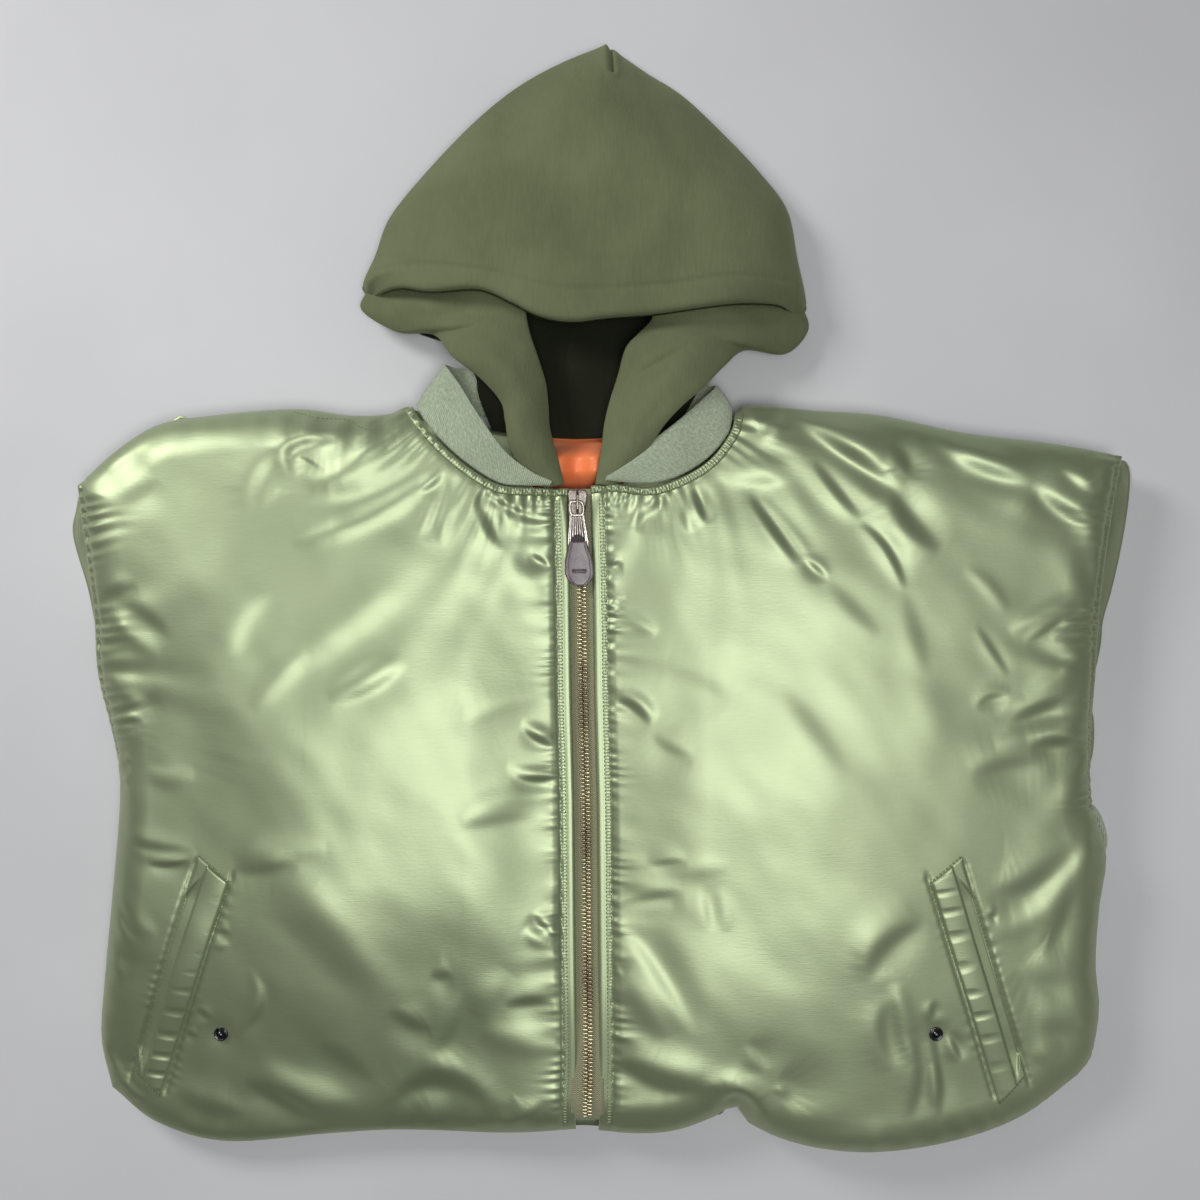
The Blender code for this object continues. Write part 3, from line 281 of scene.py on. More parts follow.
def beyond(points, rows):
    """Distance outside a closed outline, below 0 within it."""
    loop = loop_of(rows)
    apart, _ = distance(points, np.vstack([loop, loop[:1]]))
    crossed = np.zeros(points.shape[:-1], int)
    for (ax, ay), (bx, by) in zip(loop[:, :2], np.roll(loop, -1, axis=0)[:, :2]):
        level = by - ay if by != ay else 1e-9
        crosses = ((ay > points[..., 1]) != (by > points[..., 1]))
        crossed += crosses & (points[..., 0] < ax + (points[..., 1] - ay) * (bx - ax) / level)
    return np.where(crossed % 2 == 1, -apart, apart)


PLACES = np.linspace(0.0, 1.0, 40)
OUTER_EDGES = np.vstack([through(run, PLACES) for run in
                         (LEFT_SHOULDER, LEFT_SIDE, LEFT_HEM, RIGHT_HEM[::-1], RIGHT_SIDE[::-1],
                          RIGHT_SHOULDER[::-1])])
NECK_LINES = [through(LEFT_NECK, PLACES), through(RIGHT_NECK, PLACES)]
ARMHOLES = [through(LEFT_SIDE[:5], PLACES), through(RIGHT_SIDE[:6], PLACES)]


def zip_x(y):
    """Middle of the zip at a height on the jacket."""
    line = np.asarray(ZIP_LINE[::-1], float)
    return np.interp(y, line[:, 1], line[:, 0])


def seam_height(p):
    """Height of the line where front and back are sewn: low at the sides, high at the armholes."""
    x, y = np.abs(p[..., 0]), p[..., 1]
    shoulder = smooth((y + 150) / 90)
    armhole = smooth((x - 320) / 60) * smooth((y + 110) / 60)
    return SIDE_SEAM + (SHOULDER_SEAM - SIDE_SEAM) * shoulder + (ARMHOLE_SEAM - SHOULDER_SEAM) * armhole


def creased(p, rows):
    """Ridges are soft bells across a bent line; a trough steps down to the lower right as it is crossed,
    with a swell on one side of it and a hollow on the other. Both run out at the ends of the line."""
    total = np.zeros(p.shape[:-1])
    t = np.linspace(0.0, 1.0, 9)[:, None]
    for x0, y0, x1, y1, x2, y2, width, height in rows:
        line = (np.array([[x0, y0]]) * (1 - t) ** 2 + 2 * np.array([[x1, y1]]) * t * (1 - t)
                + np.array([[x2, y2]]) * t ** 2)
        low, high = line.min(axis=0) - 4.5 * width, line.max(axis=0) + 4.5 * width
        near = ((p[..., 0] > low[0]) & (p[..., 0] < high[0]) & (p[..., 1] > low[1]) & (p[..., 1] < high[1]))
        signed, along = beside(p[near], line)
        fade = np.sin(np.pi * np.clip(along / walked_to(line)[-1], 0.0, 1.0))
        spread = width * (0.7 + 0.4 * fade)
        if height > 0:
            total[near] += 0.55 * height * fade * np.exp(-(signed / (1.3 * spread)) ** 2)
            continue
        run = line[-1] - line[0]
        downward = signed * (1 if -run[1] - run[0] > 0 else -1)
        total[near] += fade ** 1.2 * height * (
            0.60 * np.tanh(downward / (0.9 * spread)) * np.exp(-(signed / (2.1 * spread)) ** 2)
            + 0.22 * np.exp(-(signed / (0.8 * spread)) ** 2))
    return total


def fan(p, centre, count, near, far, height, seed):
    """Soft folds that spread from a point: waves over the angle about it, growing and dying with distance."""
    draw = np.random.default_rng(seed)
    a, b, c = draw.uniform(0, 6.3, 3)
    off = p[..., :2] - np.asarray(centre, float)
    away, angle = np.hypot(off[..., 0], off[..., 1]), np.arctan2(off[..., 1], off[..., 0])
    bend = 1.4 * np.sin(away / 70 + a) + 0.9 * np.sin(angle * 5 + b)
    strength = 0.6 + 0.4 * np.sin(angle * 9 + away / 55 + c)
    return (height * strength * np.sin(angle * count + bend) * smooth((away - near * 0.4) / near)
            * (1 - smooth((away - near) / (far - near))))


def ripples(p, seed, count, shortest, longest, height):
    """Slow unevenness of wadding: the sum of waves of random length and direction."""
    draw = np.random.default_rng(seed)
    total = np.zeros(p.shape[:-1])
    for _ in range(count):
        length, angle, start = draw.uniform(shortest, longest), draw.uniform(0, math.pi), draw.uniform(0, 6.3)
        across = p[..., 0] * math.cos(angle) + p[..., 1] * math.sin(angle)
        lengthwise = p[..., 1] * math.cos(angle) - p[..., 0] * math.sin(angle)
        bend = 0.8 * np.sin(lengthwise * 2.1 / longest + 2 * start)
        total += np.sin(across * 2 * math.pi / length + start + bend) * length / longest
    return height * total / math.sqrt(count)


def puckers(apart, along, pitch, reach, height, seed):
    """Gathers square to a seam: uneven waves along it that die away from it."""
    draw = np.random.default_rng(seed)
    a, b, c, d = draw.uniform(0, 6.3, 4)
    phase = (2 * math.pi * along / pitch + 1.6 * np.sin(along / (pitch * 1.9) + a)
             + 1.1 * np.sin(along / (pitch * 0.83) + b) + 0.5 * np.sin(apart / pitch + c))
    strength = 0.62 + 0.38 * np.sin(along / (pitch * 2.3) + d)
    here = reach * (0.65 + 0.35 * np.sin(along / (pitch * 1.35) + a + c))
    return height * strength * np.sin(phase) * np.exp(-np.abs(apart / here) ** 1.5)


def welt_frame(p, corners):
    """Place of each point on a pocket: how far out from its middle line, and down from its top, with its
    half width and its length."""
    top_outer, top_inner, bottom_inner, bottom_outer = [np.array(c, float) for c in corners]
    top, bottom = (top_outer + top_inner) / 2, (bottom_inner + bottom_outer) / 2
    length = np.linalg.norm(bottom - top)
    down = (bottom - top) / length
    side = np.array([-down[1], down[0]])
    offset = p[..., :2] - top
    half = (top_outer - top) @ side
    return offset @ side * np.sign(half), offset @ down, np.abs(half), length


def wadding(p):
    """Slow shape of the fronts: a valley along the zip with a soft lip, a swell on each side, a lower hem,
    lower outer corners below, a fuller left shoulder and a small knob on the right one."""
    x, y = p[..., 0], p[..., 1]
    off_zip = np.abs(x - zip_x(y))
    swell = (LEFT_CROWN * np.exp(-((x + 205) / 140) ** 2 - ((y + 150) / 220) ** 2)
             + RIGHT_CROWN * np.exp(-((x - 185) / 140) ** 2 - ((y + 150) / 230) ** 2))
    level = ZIP_TOP + smooth((off_zip - 8) / 85) * (SHOULDER_TOP - ZIP_TOP + swell)
    level = level + 1.6 * smooth((off_zip - 18) / 8) * (1 - smooth((off_zip - 28) / 70))
    level = level - HEM_FALL * smooth((-300 - y) / 115)
    level = level - RIGHT_FALL * smooth((x - 200) / 150) * smooth((-150 - y) / 120)
    level = level - LEFT_FALL * smooth((-220 - y) / 190) * smooth((-30 - x) / 90)
    level = level + SHOULDER_SWELL * np.exp(-((x + 300) / 62) ** 2 - ((y + 20) / 110) ** 2)
    return level + SHOULDER_KNOB * np.exp(-(((x - 130) / 10) ** 2 + ((y - 124) / 9) ** 2) ** 1.5)


def folds(p):
    """The creases, slow waves of the wadding, and folds that fan out from the neck and the armholes."""
    relief = creased(p, LEFT_CREASES) + creased(p, RIGHT_CREASES)
    relief = relief + ripples(p, 3, 9, 70, 170, 1.3) + ripples(p, 8, 9, 22, 60, 0.2)
    relief = relief + np.where(p[..., 0] < zip_x(p[..., 1]), fan(p, (-30, 130), 22, 90, 330, 0.6, 61),
                               fan(p, (60, 150), 22, 90, 330, 0.6, 62))
    return relief + fan(p, (-420, -60), 17, 50, 190, 0.8, 63) + fan(p, (410, -70), 17, 50, 190, 1.0, 64)


def zip_gathers(p):
    """Two sizes of gathers beside the zip, grooves under its stitching, and the rolled edge of the cloth."""
    x, y = p[..., 0], p[..., 1]
    off_zip = np.abs(x - zip_x(y))
    outside = np.maximum(off_zip - ZIP_STITCHES[1], 0.0)
    along = y + np.sign(x - zip_x(y)) * 40
    relief = (puckers(outside, along, 7.4, 10.0, 0.9, 4)
              + puckers(outside, along, 19.0, 24.0, 0.9, 7)) * smooth((off_zip - 17) / 4)
    for row, depth in zip(ZIP_STITCHES, ZIP_GROOVES):
        relief = relief - depth * np.exp(-((off_zip - row) / 1.2) ** 2)
    return relief - 1.4 * (1 - roll((off_zip - ZIP_OPENING) / 2.2))


def pocket_relief(p, corners, seed):
    """A groove round a pocket with short gathers outside it, and the slit beside its outer seam."""
    outward, down, half, length = welt_frame(p, corners)
    outside = np.abs(outward) - half
    here = smooth((down + 6) / 8) * (1 - smooth((down - length + 2) / 8))
    gathers = puckers(outside, down + np.sign(outward) * 31, 8.3, 5.0, 0.5, seed) * smooth(outside)
    slit = smooth((down - 3) / 26) * (1 - smooth((down - length + 30) / 26))
    inner = (0.42 + 0.48 * slit) * half
    opening = smooth((outward - 0.30 * half) / 1.6) * (1 - smooth((outward - inner) / 1.6))
    groove = POCKET_GROOVE * np.exp(-((outside - 0.4) / 1.5) ** 2)
    return here * (gathers - groove) - slit * SLIT_DEPTH * opening


def front_top(p):
    """Outer surface of the fronts: the wadding's shape with its folds, the gathers and grooves at the neck,
    zip and pockets, all rounded off at the outer edge, and last the gathers at the armholes and the edge."""
    x, y = p[..., 0], p[..., 1]
    edge, round_edge = distance(p, OUTER_EDGES)
    off_zip = np.abs(x - zip_x(y))
    level = wadding(p) + folds(p) * smooth(edge / 18) * smooth((off_zip - 12) / 16)
    for line in NECK_LINES:
        apart, along = distance(p, line)
        level = level + puckers(apart, along, 9.0, 30.0, 1.3, 21) * smooth(apart / 3)
        level = level - NECK_GROOVE * np.exp(-((apart - 1.0) / 5.0) ** 2)
    level = level + zip_gathers(p) + pocket_relief(p, LEFT_WELT, 5) + pocket_relief(p, RIGHT_WELT, 6)
    for spot in (LEFT_SNAP, RIGHT_SNAP):
        level = level - SNAP_DENT * np.exp(-((x - spot[0]) ** 2 + (y - spot[1]) ** 2) / 130.0)
    foot = seam_height(p) + RIM_WALL
    top = foot + (level - foot) * roll(edge / EDGE_ROLL)
    for line, seed in zip(ARMHOLES, (11, 12)):
        apart, along = distance(p, line)
        top = top + puckers(apart, along, 8.5, 19.0, 2.8, seed) * smooth(edge / 5)
        top = top + 0.5 * np.sin(along * 2 * math.pi / 3.1) * np.exp(-((apart - 3.0) / 2.4) ** 2)
        top = top - ARMHOLE_GROOVE * np.exp(-((apart - 6.0) / 2.0) ** 2)
    return top + puckers(edge, round_edge, 23.0, 22.0, 1.1, 15) * smooth(edge / 8)


def back_under(p):
    """Underside of the back: it lies over the folded sleeves and the hem rib, else on the floor."""
    edge, _ = distance(p, OUTER_EDGES)
    sleeve = np.minimum(beyond(p, LEFT_SLEEVE), beyond(p, RIGHT_SLEEVE))
    rib = beyond(p, HEM_RIB) - 6
    cuff = np.minimum(beyond(p, LEFT_CUFF), beyond(p, RIGHT_CUFF)) - 13
    over_sleeve = (SLEEVE_THICKNESS + LAYER_GAP) * (1 - smooth(sleeve / 40))
    over_rib = (RIB_THICKNESS + LAYER_GAP) * (1 - smooth(rib / 24))
    over_cuff = (CUFF_THICKNESS + LAYER_GAP) * (1 - smooth(cuff / 24)) * smooth((edge + 10) / 24)
    turned_up = (seam_height(p) - RIM_WALL) * (1 - roll(edge / 16))
    ceiling = seam_height(p) - RIM_WALL + SLEEVE_THICKNESS * smooth(edge / EDGE_ROLL)
    return np.maximum.reduce([np.minimum(over_sleeve, ceiling), over_rib, over_cuff, turned_up])


def back_top(p):
    """Upper surface of the back: a wall of wadding over its underside, thin at the outer seam."""
    edge, _ = distance(p, OUTER_EDGES)
    wall = RIM_WALL - 2 * SEAM_GAP + (BACK_WALL - RIM_WALL) * smooth(edge / 30)
    return back_under(p) + wall


def patch(bottom, top, left, right):
    """Coons patch: a grid of plan points filling four edges that meet at their ends."""
    v = np.linspace(0.0, 1.0, len(left))[:, None, None]
    u = np.linspace(0.0, 1.0, len(bottom))[None, :, None]
    across = (1 - v) * bottom[None] + v * top[None]
    along = (1 - u) * left[:, None] + u * right[:, None]
    corners = ((1 - u) * (1 - v) * bottom[0] + u * (1 - v) * bottom[-1]
               + (1 - u) * v * top[0] + u * v * top[-1])
    return across + along - corners


def lifted(plan, height):
    """Plan points brought to a height."""
    return np.concatenate([plan[..., :2], np.broadcast_to(height, plan.shape[:-1])[..., None]], axis=-1)


def finished(name, points, faces, finish, uv=None, body="jacket", smooth_shaded=True):
    """A mesh in metres from points in millimetres, its faces turned outward by the sign of its volume."""
    points = (np.asarray(points, float).reshape(-1, 3) - MIDDLE) * MM
    mesh = bpy.data.meshes.new(name)
    mesh.from_pydata(points, [], faces)
    mesh.materials.append(finish)
    if uv is not None:
        layer = mesh.uv_layers.new(name="surface")
        corner = np.zeros(len(mesh.loops), int)
        mesh.loops.foreach_get("vertex_index", corner)
        layer.data.foreach_set("uv", (np.asarray(uv, float).reshape(-1, 2)[corner] * MM).ravel())
    mesh.calc_loop_triangles()
    corners = np.zeros(len(mesh.loop_triangles) * 3, int)
    mesh.loop_triangles.foreach_get("vertices", corners)
    a, b, c = points[corners.reshape(-1, 3)].transpose(1, 0, 2)
    if np.einsum("ij,ij->i", a, np.cross(b, c)).sum() < 0:
        mesh.flip_normals()
    if smooth_shaded:
        mesh.shade_smooth()
    made = bpy.data.objects.new(name, mesh)
    bpy.context.scene.collection.objects.link(made)
    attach(made, body)
    return made


def quads(rows, columns, start=0):
    """Corner numbers of the faces of a grid."""
    corner = start + np.arange(rows * columns).reshape(rows, columns)
    around = [corner[:-1, :-1], corner[:-1, 1:], corner[1:, 1:], corner[1:, :-1]]
    return np.stack(around, axis=-1).reshape(-1, 4)


def measured(grid):
    """Distances over a grid in millimetres, along its middle row and its middle column."""
    u = walked_to(grid[len(grid) // 2])
    v = walked_to(grid[:, grid.shape[1] // 2])
    return np.stack(np.broadcast_arrays(u[None, :], v[:, None]), axis=-1)


def shell(name, upper, lower, finish, coarse=1, body="jacket"):
    """A closed wall between two grids, the lower one with every coarse-th point, joined round their rims."""
    lower = lower[::coarse, ::coarse]
    rows, columns = upper.shape[:2]
    few_rows, few_columns = lower.shape[:2]
    start = rows * columns
    fine = np.arange(start).reshape(rows, columns)
    few = start + np.arange(few_rows * few_columns).reshape(few_rows, few_columns)
    faces = quads(rows, columns).tolist() + quads(few_rows, few_columns, start)[:, ::-1].tolist()
    rims = ((fine[0], few[0], 1), (fine[:, -1], few[:, -1], 1),
            (fine[-1], few[-1], -1), (fine[:, 0], few[:, 0], -1))
    for dense, sparse, turn in rims:
        for k in range(len(sparse) - 1):
            face = [sparse[k + 1], sparse[k], *dense[k * coarse:(k + 1) * coarse + 1]][::-turn]
            faces.append([int(corner) for corner in face])
    uv = measured(upper)
    return finished(name, np.vstack([upper.reshape(-1, 3), lower.reshape(-1, 3)]), faces, finish,
                    np.vstack([uv.reshape(-1, 2), uv[::coarse, ::coarse].reshape(-1, 2)]), body)


def node(tree, kind, sockets=None, **settings):
    """A shader node with its settings and the values of its sockets."""
    made = tree.nodes.new(kind)
    for key, value in settings.items():
        setattr(made, key, value)
    for key, value in (sockets or {}).items():
        made.inputs[key].default_value = value
    return made


def grain(tree, source, size, detail=2.0, rough=0.5, turn=0.0):
    """Noise stretched to a size in metres along x, y and z, read from Object coordinates or the UV map."""
    place = node(tree, "ShaderNodeTexCoord")
    spread = node(tree, "ShaderNodeMapping", {"Scale": [1.0 / s for s in size], "Rotation": (0, 0, turn)})
    noise = node(tree, "ShaderNodeTexNoise", {"Scale": 1.0, "Detail": detail, "Roughness": rough})
    tree.links.new(place.outputs[source], spread.inputs["Vector"])
    tree.links.new(spread.outputs["Vector"], noise.inputs["Vector"])
    return noise.outputs["Fac"]


def toned(tree, factor, stops):
    """Colours set against a factor, each stop a place from 0 to 1 and a colour."""
    ramp = node(tree, "ShaderNodeValToRGB")
    while len(ramp.color_ramp.elements) < len(stops):
        ramp.color_ramp.elements.new(0.5)
    for element, (place, colour) in zip(ramp.color_ramp.elements, stops):
        element.position = place
        element.color = (*colour, 1.0)
    tree.links.new(factor, ramp.inputs["Fac"])
    return ramp.outputs["Color"]


def raised(tree, height, depth, under=None, strength=1.0):
    """A bump of a depth in metres, on top of another one if there is one."""
    bump = node(tree, "ShaderNodeBump", {"Strength": strength, "Distance": depth})
    tree.links.new(height, bump.inputs["Height"])
    if under is not None:
        tree.links.new(under, bump.inputs["Normal"])
    return bump.outputs["Normal"]


def spread_over(tree, factor, low, high):
    """A factor of 0 to 1 turned into a number between low and high."""
    made = node(tree, "ShaderNodeMapRange", {"From Min": 0.3, "From Max": 0.7, "To Min": low, "To Max": high})
    tree.links.new(factor, made.inputs["Value"])
    return made.outputs["Result"]


def times(tree, one, other):
    """One colour multiplied by another."""
    mixed = node(tree, "ShaderNodeMix", {"Factor": 1.0}, data_type="RGBA", blend_type="MULTIPLY")
    tree.links.new(one, mixed.inputs["A"])
    tree.links.new(other, mixed.inputs["B"])
    return mixed.outputs["Result"]


def new_finish(name, **sockets):
    """A material with the plain values of its shader."""
    made = bpy.data.materials.new(name)
    made.use_nodes = True
    shader = made.node_tree.nodes["Principled BSDF"]
    for key, value in sockets.items():
        shader.inputs[key.replace("_", " ")].default_value = value
    return made, made.node_tree, shader


def patterned(tree, shader, colour, roughness=None, normal=None):
    """Lead a pattern's colour into the shader, and its roughness and bump where it has them."""
    for key, output in (("Base Color", colour), ("Roughness", roughness), ("Normal", normal)):
        if output is not None:
            tree.links.new(output, shader.inputs[key])


def satin_nylon():
    """Satin woven nylon: fine cross threads that shine in the cloth's own colour, a little uneven."""
    made, tree, shader = new_finish("sage_nylon", Metallic=0.7, Sheen_Weight=0.08, Sheen_Roughness=0.4)
    shader.inputs["Sheen Tint"].default_value = (0.85, 0.92, 0.70, 1.0)
    tone = grain(tree, "Object", (0.16, 0.16, 0.16), 3.0)
    thread = grain(tree, "Object", (0.012, 0.0009, 0.004), 2.0)
    slub = grain(tree, "Object", (0.0035, 0.0016, 0.0035), 2.0)
    colour = toned(tree, tone, [(0.32, (0.322, 0.384, 0.226)), (0.68, (0.375, 0.436, 0.262))])
    streak = toned(tree, thread, [(0.30, (0.97, 0.97, 0.97)), (0.70, (1.02, 1.02, 1.02))])
    patterned(tree, shader, times(tree, colour, streak), spread_over(tree, tone, 0.42, 0.49),
              raised(tree, thread, 0.00005, raised(tree, slub, 0.00004)))
    return made


NYLON = satin_nylon()


def front_panel(name, cad_node, hem, side, neck, shoulder, side_sign):
    """A front from its zip edge to the side, over front_top, with a wall of wadding under it. Each point of
    its plan is brought to the middle of its neighbours again and again, which evens out the grid."""
    across = steps(FRONT_ACROSS, near=0.4, far=0.3)
    along = steps(FRONT_ALONG, near=0.15, far=0.2)
    zip_rows = np.array([(zip_x(y) + side_sign * ZIP_OPENING, y) for y in
                         np.linspace(hem[0][1], neck[0][1], 12)])
    hem_rows = np.vstack([zip_rows[:1], hem[1:]])
    top_rows = np.vstack([zip_rows[-1:], neck[1:], shoulder[1:]])
    plan = patch(through(hem_rows, across), through(top_rows, across),
                 through(zip_rows, along), through(side[::-1], along))
    for _ in range(240):
        plan[1:-1, 1:-1] = (plan[:-2, 1:-1] + plan[2:, 1:-1] + plan[1:-1, :-2] + plan[1:-1, 2:]) / 4
    upper = lifted(plan, front_top(plan))
    sparse = plan[::UNDERSIDE, ::UNDERSIDE]
    edge, _ = distance(sparse, OUTER_EDGES)
    off_zip = np.abs(sparse[..., 0] - zip_x(sparse[..., 1]))
    wall = RIM_WALL + (FRONT_WALL - RIM_WALL) * smooth(edge / 26) * smooth((off_zip - 18) / 24)
    floor = back_top(sparse) + SEAM_GAP + LAYER_GAP * smooth(edge / 5)
    under = np.zeros(upper.shape)
    under[::UNDERSIDE, ::UNDERSIDE] = lifted(
        sparse, np.maximum(upper[::UNDERSIDE, ::UNDERSIDE, 2] - wall, floor))
    made = shell(name, upper, under, NYLON, UNDERSIDE)
    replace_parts(made, cad_node)


front_panel("left_front_padded", "front_left", LEFT_HEM[::-1], LEFT_SIDE, LEFT_NECK, LEFT_SHOULDER, -1)
front_panel("right_front_padded", "front_right", RIGHT_HEM[::-1], RIGHT_SIDE, RIGHT_NECK, RIGHT_SHOULDER, 1)


# ------------------------------------------------------------------------------- back, sleeves and ribs
# The padded back lies over the two padded sleeves, which are folded behind it, and over the hem rib,
# which is folded under. The cuffs and the hem are rib knit; only slips of sleeve and cuff show.
BACK_NECK = [(-146, 141), (-110, 131), (-60, 124), (-20, 122), (30, 124), (75, 130), (105, 137)]


def back_panel():
    """The back over its whole outline, its underside draped on what lies below, with low soft folds."""
    across, along = steps(144, 0.25, 0.25), steps(96, 0.2, 0.25)
    hem = LEFT_HEM + RIGHT_HEM[::-1][1:]
    top = LEFT_SHOULDER[::-1] + BACK_NECK[1:] + RIGHT_SHOULDER[1:]
    plan = patch(through(hem, across), through(top, across),
                 through(LEFT_SIDE[::-1], along), through(RIGHT_SIDE[::-1], along))
    edge, round_edge = distance(plan, OUTER_EDGES)
    under = back_under(plan)
    lift = (1.0 + ripples(plan, 31, 9, 30, 110, 0.8)) * smooth((under - 6) / 10) * smooth(edge / 20)
    lift = lift + puckers(edge, round_edge, 17.0, 16.0, 0.8, 17) * smooth(edge / 6) * smooth((under - 4) / 6)
    wall = RIM_WALL - 2 * SEAM_GAP + (BACK_WALL - RIM_WALL) * smooth(edge / 30)
    low = np.maximum(under + lift, 0.0)
    return shell("back_padded", lifted(plan, under + wall), lifted(plan, low), NYLON)


back = back_panel()
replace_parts(back, "back")


def rings_of(rings, around):
    """Corner numbers on closed rings, those one step further round, and the faces between the rings."""
    ring = np.arange(rings * around).reshape(rings, around)
    after = np.roll(ring, -1, axis=1)
    return ring, after, np.stack([ring[:-1], ring[1:], after[1:], after[:-1]], axis=-1).reshape(-1, 4)


def hub(corner, ring, after):
    """Triangles that close a ring to one corner in its middle."""
    return np.stack([np.full(len(ring), corner), ring, after], axis=-1)


def pad(name, rows, top, finish, around, rings):
    """A pad filling an outline, flat below and rounded above, from its middle out in rings."""
    loop = loop_of(rows, around)
    centre = loop.mean(axis=0)
    share = np.sin(np.linspace(0.0, 1.0, rings + 1)[1:] * math.pi / 2)[:, None, None]
    plan = centre + (loop[None] - centre) * share
    middle = centre[None]
    points = np.vstack([lifted(plan, top(plan)).reshape(-1, 3), lifted(plan, 0.0).reshape(-1, 3),
                        lifted(middle, top(middle)), lifted(middle, 0.0)])
    total = rings * around
    ring, after, upper = rings_of(rings, around)
    rim = np.stack([ring[-1], ring[-1] + total, after[-1] + total, after[-1]], axis=-1)
    faces = (upper.tolist() + (upper[:, ::-1] + total).tolist() + rim.tolist()
             + hub(2 * total, ring[0], after[0]).tolist()
             + hub(2 * total + 1, after[0] + total, ring[0] + total).tolist())
    uv = np.concatenate([plan.reshape(-1, 2), plan.reshape(-1, 2), middle, middle])
    made = finished(name + "_cloth", points, faces, finish, uv)
    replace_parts(made, name)
    return made


def sleeve_top(rows, seed):
    """Height of a folded sleeve: rounded at its outline, creased across, and clear of the back over it."""
    def top(plan):
        own_edge = -beyond(plan, rows)
        own = SLEEVE_THICKNESS * (1 - np.exp(-np.maximum(own_edge, 0) / 19))
        own = own + ripples(plan, seed, 8, 18, 60, 1.2) * smooth(own_edge / 10)
        own = own + puckers(own_edge, plan[..., 1], 21.0, 26.0, 1.6, seed) * smooth(own_edge / 6)
        return np.maximum(np.minimum(own, back_under(plan) - 1.8 * LAYER_GAP), 1.0)
    return top


for name, rows, seed in (("sleeve_left", LEFT_SLEEVE, 41), ("sleeve_right", RIGHT_SLEEVE, 42)):
    pad(name, rows, sleeve_top(rows, seed), NYLON, 240, 30)


def rib_knit():
    """Fine rib knit: wales that run across the band, heathered in three close greens."""
    made, tree, shader = new_finish("rib_knit", Roughness=0.86, Sheen_Weight=0.30, Sheen_Roughness=0.5)
    shader.inputs["Specular IOR Level"].default_value = 0.25
    place = node(tree, "ShaderNodeTexCoord")
    wales = node(tree, "ShaderNodeTexWave", {"Scale": 1.0 / 0.0048, "Distortion": 0.5, "Detail": 1.0,
                                             "Detail Scale": 3.0}, wave_type="BANDS", bands_direction="X")
    tree.links.new(place.outputs["UV"], wales.inputs["Vector"])
    heather = grain(tree, "UV", (0.0022, 0.0030, 0.0022), 3.0, 0.65)
    broad = grain(tree, "Object", (0.05, 0.05, 0.05), 2.0)
    colour = toned(tree, heather, [(0.30, (0.290, 0.345, 0.240)), (0.52, (0.405, 0.470, 0.340)),
                                   (0.72, (0.540, 0.600, 0.460))])
    shade = toned(tree, broad, [(0.3, (0.90, 0.90, 0.88)), (0.7, (1.06, 1.06, 1.04))])
    line = toned(tree, wales.outputs["Fac"], [(0.0, (0.80, 0.80, 0.80)), (0.6, (1.04, 1.04, 1.04))])
    patterned(tree, shader, times(tree, times(tree, colour, shade), line),
              normal=raised(tree, wales.outputs["Fac"], 0.00028, raised(tree, heather, 0.0002)))
    return made


RIB_KNIT = rib_knit()


def cuff_top(rows):
    """Height of a flattened cuff: rounded at its outline and clear of the back over it."""
    def top(plan):
        own = CUFF_THICKNESS * roll(-beyond(plan, rows) / 9)
        return np.maximum(np.minimum(own, back_under(plan) - 1.8 * LAYER_GAP), 1.0)
    return top


for name, rows in (("cuff_left", LEFT_CUFF), ("cuff_right", RIGHT_CUFF)):
    cuff = pad(name, rows, cuff_top(rows), RIB_KNIT, 90, 16)


def hem_band():
    """The hem rib lying flat below the back, rounded at its free edges."""
    across = steps(200)
    down = steps(24, 0.3, 0.3)[:, None, None]
    plan = (1 - down) * through(HEM_RIB[:4:-1], across)[None] + down * through(HEM_RIB[:5], across)[None]
    top = RIB_THICKNESS * roll(-beyond(plan, HEM_RIB) / 7)
    return shell("hem_band", lifted(plan, np.maximum(top, 1.0)), lifted(plan, 0.0), RIB_KNIT, 2)


hem = hem_band()
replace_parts(hem, "hem_rib")


# ------------------------------------------------------------------------------------------------ collar
# A doubled rib-knit collar that tapers to the zip and stands round the neck. Its seam is covered by a
# narrow gathered strip of nylon, sewn down with short stitches square to the seam.
COLLAR_WALL = 3.4
# sewn edge x, y, z, then free edge x, y, z
COLLAR = [
    (-38, 79, 51.5, -36, 82, 52.5),
    (-57, 79, 51.5, -53, 90, 54),
    (-76, 81, 51.0, -73, 106, 56),
    (-98, 94, 50.0, -93, 134, 57),
    (-119, 112, 48.0, -106, 155, 55),
    (-135, 131, 45.0, -114, 166, 51),
    (-140, 142, 38.0, -118, 172, 42),
    (-133, 144, 26.0, -112, 172, 28),
    (-100, 137, 17.0, -92, 173, 15),
    (-15, 129, 14.0, -15, 172, 11),
    (66, 136, 17.0, 62, 166, 15),
    (95, 141, 26.0, 84, 158, 28),
    (101, 138, 38.0, 88, 155, 42),
    (98, 120, 46.0, 75, 142, 51),
    (85, 103, 50.0, 58, 127, 55),
    (69, 91, 51.0, 43, 115, 56),
    (50, 83, 51.5, 29, 101, 56),
    (28, 81, 51.5, 14, 91, 54),
    (4, 83, 51.5, 5, 86, 52.5),
]


def normals(grid):
    """Unit normals of a grid of points, upward on the whole."""
    normal = unit(np.cross(np.gradient(grid, axis=1), np.gradient(grid, axis=0)) + 1e-12)
    return normal * np.sign(normal[..., 2:3].mean())


